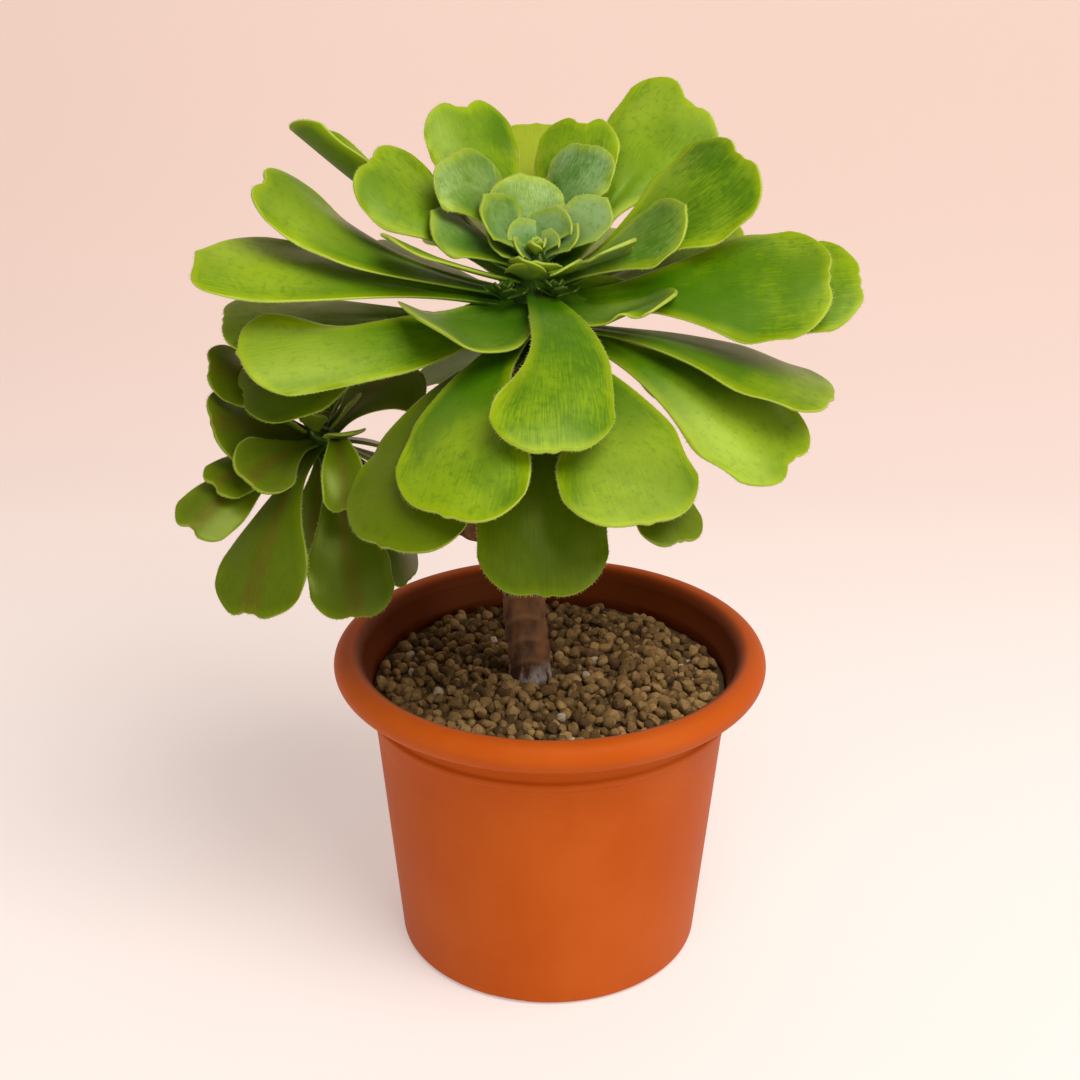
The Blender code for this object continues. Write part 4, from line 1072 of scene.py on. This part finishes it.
def leafPaint(name, streaks):
    # waxy leaf: hue from yellow green to blue green, cloudy darker patches drawn out lengthwise, a lower half
    # darkened with painted shade, a painted whitish highlight on the blade, fine mottling, a stalk dark with
    # painted shade, a yellow zone and a thin pale line at the margin, and a duller underside. Shade is
    # painted
    # light and shade: -1 paints a leaf lit through from behind, 0 a fresh one, 1 an old, olive leaf in
    # painted shade, and beyond that comes the painted deep shade of stalks and buds in the hub. Distances
    # from the edge are in millimetres.
    paint = Paint(name, Specular_IOR_Level=0.36, Specular_Tint=greens["sheen"])
    blade, tone = paint.attribute("blade"), paint.attribute("tone")
    u, v, fromEdge = (paint.part(blade, axis) for axis in range(3))
    hue, shade, highlightAmount = (paint.part(tone, axis) for axis in range(3))
    above = paint.part(paint.attribute("face"), 0)
    across = v * v
    clouds = paint.noise(24, 3)
    highlightClouds = paint.noise(17, 2, rough=0.45, Distortion=0.3)
    grain = paint.noise(420, 4, rough=0.65)
    veins = paint.noise(9, 3, paint.scaled(blade, (1.2, 3.5, 0)), rough=0.6)
    colour = paint.mix(paint.spread(hue, 0.0, 1.0), greens["fresh"], greens["blue"])
    patches = paint.spread(clouds + 0.35 * veins + 0.15 * grain, 0.60, 0.86)
    colour = paint.mix(patches * 0.90, colour, greens["deep"])
    # painted shade: darker towards the stalk
    lower = paint.spread(u + 0.5 * (clouds - 0.5) + 0.25 * (veins - 0.5), 0.85, 0.35)
    colour = paint.mix(lower * paint.spread(across, 1.2, 0.3) * 0.55, colour, greens["deep"])
    # painted highlight on the middle of the blade, as much as each leaf's amount
    bloom = paint.spread(highlightClouds + 0.35 * veins + 0.12 * grain, 0.56, 0.92) * paint.spread(u, 0.35, 0.75)
    bloom = bloom * paint.spread(across, 1.0, 0.3) * highlightAmount * 0.6
    colour = paint.mix(bloom, colour, greens["bloom"])
    colour = paint.mix(paint.spread(grain, 0.50, 0.70) * 0.30, colour, greens["deep"])
    # painted shade: olive for leaves with more shade
    colour = paint.mix(paint.spread(shade, 0.0, 1.0) * 0.85, colour, greens["olive"])
    # painted light: a leaf lit through from behind turns yellower
    colour = paint.mix(paint.spread(shade, -0.2, -1.0) * 0.5, colour, greens["backlit"])
    # painted shade at the stalk, near the hub
    colour = paint.mix(paint.spread(u, 0.40, 0.0) * 0.85, colour, greens["dark"])
    if streaks:
        midrib = paint.spread(across, 0.10, 0.0) * paint.spread(veins + 0.2 * grain, 0.35, 0.65)
        colour = paint.mix(midrib * 0.6, colour, greens["streak"])
    colour = paint.mix(paint.spread(above, 0.0, -1.0) * 0.6, colour, greens["under"])
    outer = paint.spread(u, 0.15, 0.55)
    # the margin's zone and line are painted weaker on leaves with more painted shade
    sunlit = paint.spread(shade, 0.6, 0.1)
    glow = paint.spread(fromEdge, 4.0, 0.2) * outer * (0.12 + 0.38 * sunlit)
    colour = paint.mix(glow, colour, greens["glow"])
    line = paint.spread(fromEdge + 0.2 * (grain - 0.5), 0.42, 0.16) * outer
    line = line * (0.30 + 0.45 * sunlit) * (1 - 0.5 * hue)
    colour = paint.mix(line, colour, greens["margin"])
    # painted deep shade on stalks, the stem tip and buds, for shade beyond 1
    colour = paint.mix(paint.spread(shade, 1.1, 1.9) * 0.9, colour, greens["dark"])
    rough = 0.21 + 0.16 * clouds + 0.08 * grain + 0.3 * paint.spread(above, 0.0, -1.0)
    normal = paint.bump(grain, 0.12, 0.0003)
    normal = paint.bump(veins, 0.07, 0.0010, normal)
    normal = paint.bump(clouds, 0.6, 0.0030, normal)
    return paint.feed(Base_Color=colour, Roughness=rough, Normal=normal)


def hairPaint():
    # stiff pale hairs on the margins
    paint = Paint("margin hairs", Specular_IOR_Level=0.3)
    colour = paint.mix(paint.noise(300, 1), greens["hair"], greens["paleHair"])
    return paint.feed(Base_Color=colour, Roughness=0.5)


# the camera was fitted to the pot's rim, neck and foot in the photograph; places and sizes are in metres,
# and the lens and the sensor in millimetres
studio = {
    "camera": (0.0, -0.5362, 0.3827),
    "ahead": (-0.00609, 0.91858, -0.39518),
    "roll": 0.191,
    "lens": 57.33,
    "sensor": 36.0,
    "nearEnd": -3.0,
    "sweepStart": 0.42,
    "sweepRadius": 0.55,
    "wallTop": 3.0,
    "halfWidth": 4.0,
    "grid": (30, 24, 9),  # rows of the flat, rows of the bend, columns
    "floorNear": (0.565, 0.514, 0.488),
    # painted shade: the paper's darker, pinker tone at the back
    "shadedWall": (0.532, 0.402, 0.350),
    "tintZone": (0.05, 0.85),  # how far behind the pot the floor's tone begins to turn, and is the wall's
    "floorGlow": 0.66,  # light the paper gives off itself, which keeps the shadows on it faint
    "world": (1.0, 0.95, 0.91),
    "worldStrength": 0.30,
    # name, place, the point it is aimed at, size, watts and colour
    "lights": [
        ("window", (0.44, -0.60, 1.30), (0, 0, 0.15), (0.9, 0.9), 20.5, (1.0, 0.97, 0.94)),
        ("low side", (1.15, -0.80, 0.36), (0, 0, 0.08), (0.9, 0.5), 5, (1.0, 0.96, 0.92)),
        ("front", (-0.60, -1.30, 0.22), (-0.05, 0, 0.06), (1.2, 0.3), 5, (1.0, 0.98, 0.96)),
    ],
}


def addFloor():
    # a sheet of paper that sweeps up into a wall behind the plant: flat, then a quarter circle, then
    # upright
    flatRows, bendRows, columns = studio["grid"]
    start, radius = studio["sweepStart"], studio["sweepRadius"]
    bend = np.radians(np.linspace(0, 90, bendRows))[1:]
    y = np.concatenate([np.linspace(studio["nearEnd"], start, flatRows), start + radius * np.sin(bend),
                        [start + radius]])
    z = np.concatenate([np.zeros(flatRows), radius * (1 - np.cos(bend)), [studio["wallTop"]]])
    x = np.linspace(-studio["halfWidth"], studio["halfWidth"], columns)
    across, back = np.meshgrid(x, y)
    points = np.stack([across, back, z[:, None] + 0 * x], axis=-1).reshape(-1, 3)
    faces = joinGrid(np.arange(len(points)).reshape(len(y), columns))
    mesh = bpy.data.meshes.new("studio_floor")
    mesh.from_pydata(points.tolist(), [], faces.tolist())
    mesh.shade_smooth()
    mesh.materials.append(paperPaint())
    floor = link("studio_floor", mesh)


def paperPaint():
    # pale matt paper with painted shade: darker and pinker towards the back
    glow = studio["floorGlow"]
    paint = Paint("studio paper", Roughness=0.9, Specular_IOR_Level=0.1, Emission_Strength=glow)
    behind = paint.spread(paint.part(paint.place(), 1), *studio["tintZone"])
    colour = paint.mix(behind, studio["floorNear"], studio["shadedWall"])
    paint.material.cycles.emission_sampling = "NONE"  # a faint glow this wide needs no rays of its own
    return paint.feed(Base_Color=colour, Emission_Color=colour)


def addLights():
    for name, place, aim, size, power, colour in studio["lights"]:
        lamp = bpy.data.lights.new(name, "AREA")
        lamp.shape = "RECTANGLE"
        lamp.size, lamp.size_y = size
        lamp.energy = power
        lamp.color = colour
        item = link(name, lamp)
        item.location = place
        item.rotation_euler = (Vector(aim) - Vector(place)).to_track_quat("-Z", "Y").to_euler()
    world = bpy.data.worlds.new("pale room")
    bpy.context.scene.world = world
    world.use_nodes = True
    background = world.node_tree.nodes["Background"]
    background.inputs["Color"].default_value = (*studio["world"], 1)
    background.inputs["Strength"].default_value = studio["worldStrength"]


def addCamera():
    camera = bpy.data.cameras.new("camera")
    camera.lens = studio["lens"]
    camera.sensor_width = studio["sensor"]
    camera.clip_start = 0.01
    ahead = Vector(studio["ahead"]).normalized()
    right = ahead.cross(Vector((0, 0, 1))).normalized()
    up = right.cross(ahead)
    roll = math.radians(studio["roll"])
    right, up = right * math.cos(roll) + up * math.sin(roll), up * math.cos(roll) - right * math.sin(roll)
    turn = Matrix((right, up, -ahead)).transposed().to_4x4()
    item = link("camera", camera)
    item.matrix_world = Matrix.Translation(studio["camera"]) @ turn
    bpy.context.scene.camera = item
    bpy.context.scene.view_settings.view_transform = "Standard"


addCamera()
addFloor()
addLights()
print("studio ready")

makePot()
makeGritBed()
makePebbles()
makeStem()

leafMaterial = leafPaint("leaf green", streaks=False)
shadedMaterial = leafPaint("shaded leaf green", streaks=True)
hairMaterial = hairPaint()

crownRows = prepareLeaves(crownLeaves + spiralLeaves(crownSpiral), crown["seed"], crownHue, crownShade)
crownPieces = {
    "low_leaves": [leaf for leaf in crownRows if leaf["seat"] < crown["lowSeat"]],
    "high_leaves": [leaf for leaf in crownRows if leaf["seat"] >= crown["lowSeat"]],
}
makeHead("crown", crown, crownPieces, leafMaterial, "crown_rosette")
makeHairs("crown_hairs", crown, crownRows, hairMaterial)

sideRows = prepareLeaves(sideLeaves + spiralLeaves(sideSpiral), sideHead["seed"],
                         lambda leaf: sideHead["hue"], lambda leaf: sideHead["shade"])
makeHead("side", sideHead, {"leaves": sideRows}, shadedMaterial, "side_rosette")
makeHairs("side_hairs", sideHead, sideRows, hairMaterial)
makeBuds(leafMaterial)
print("leaves ready")
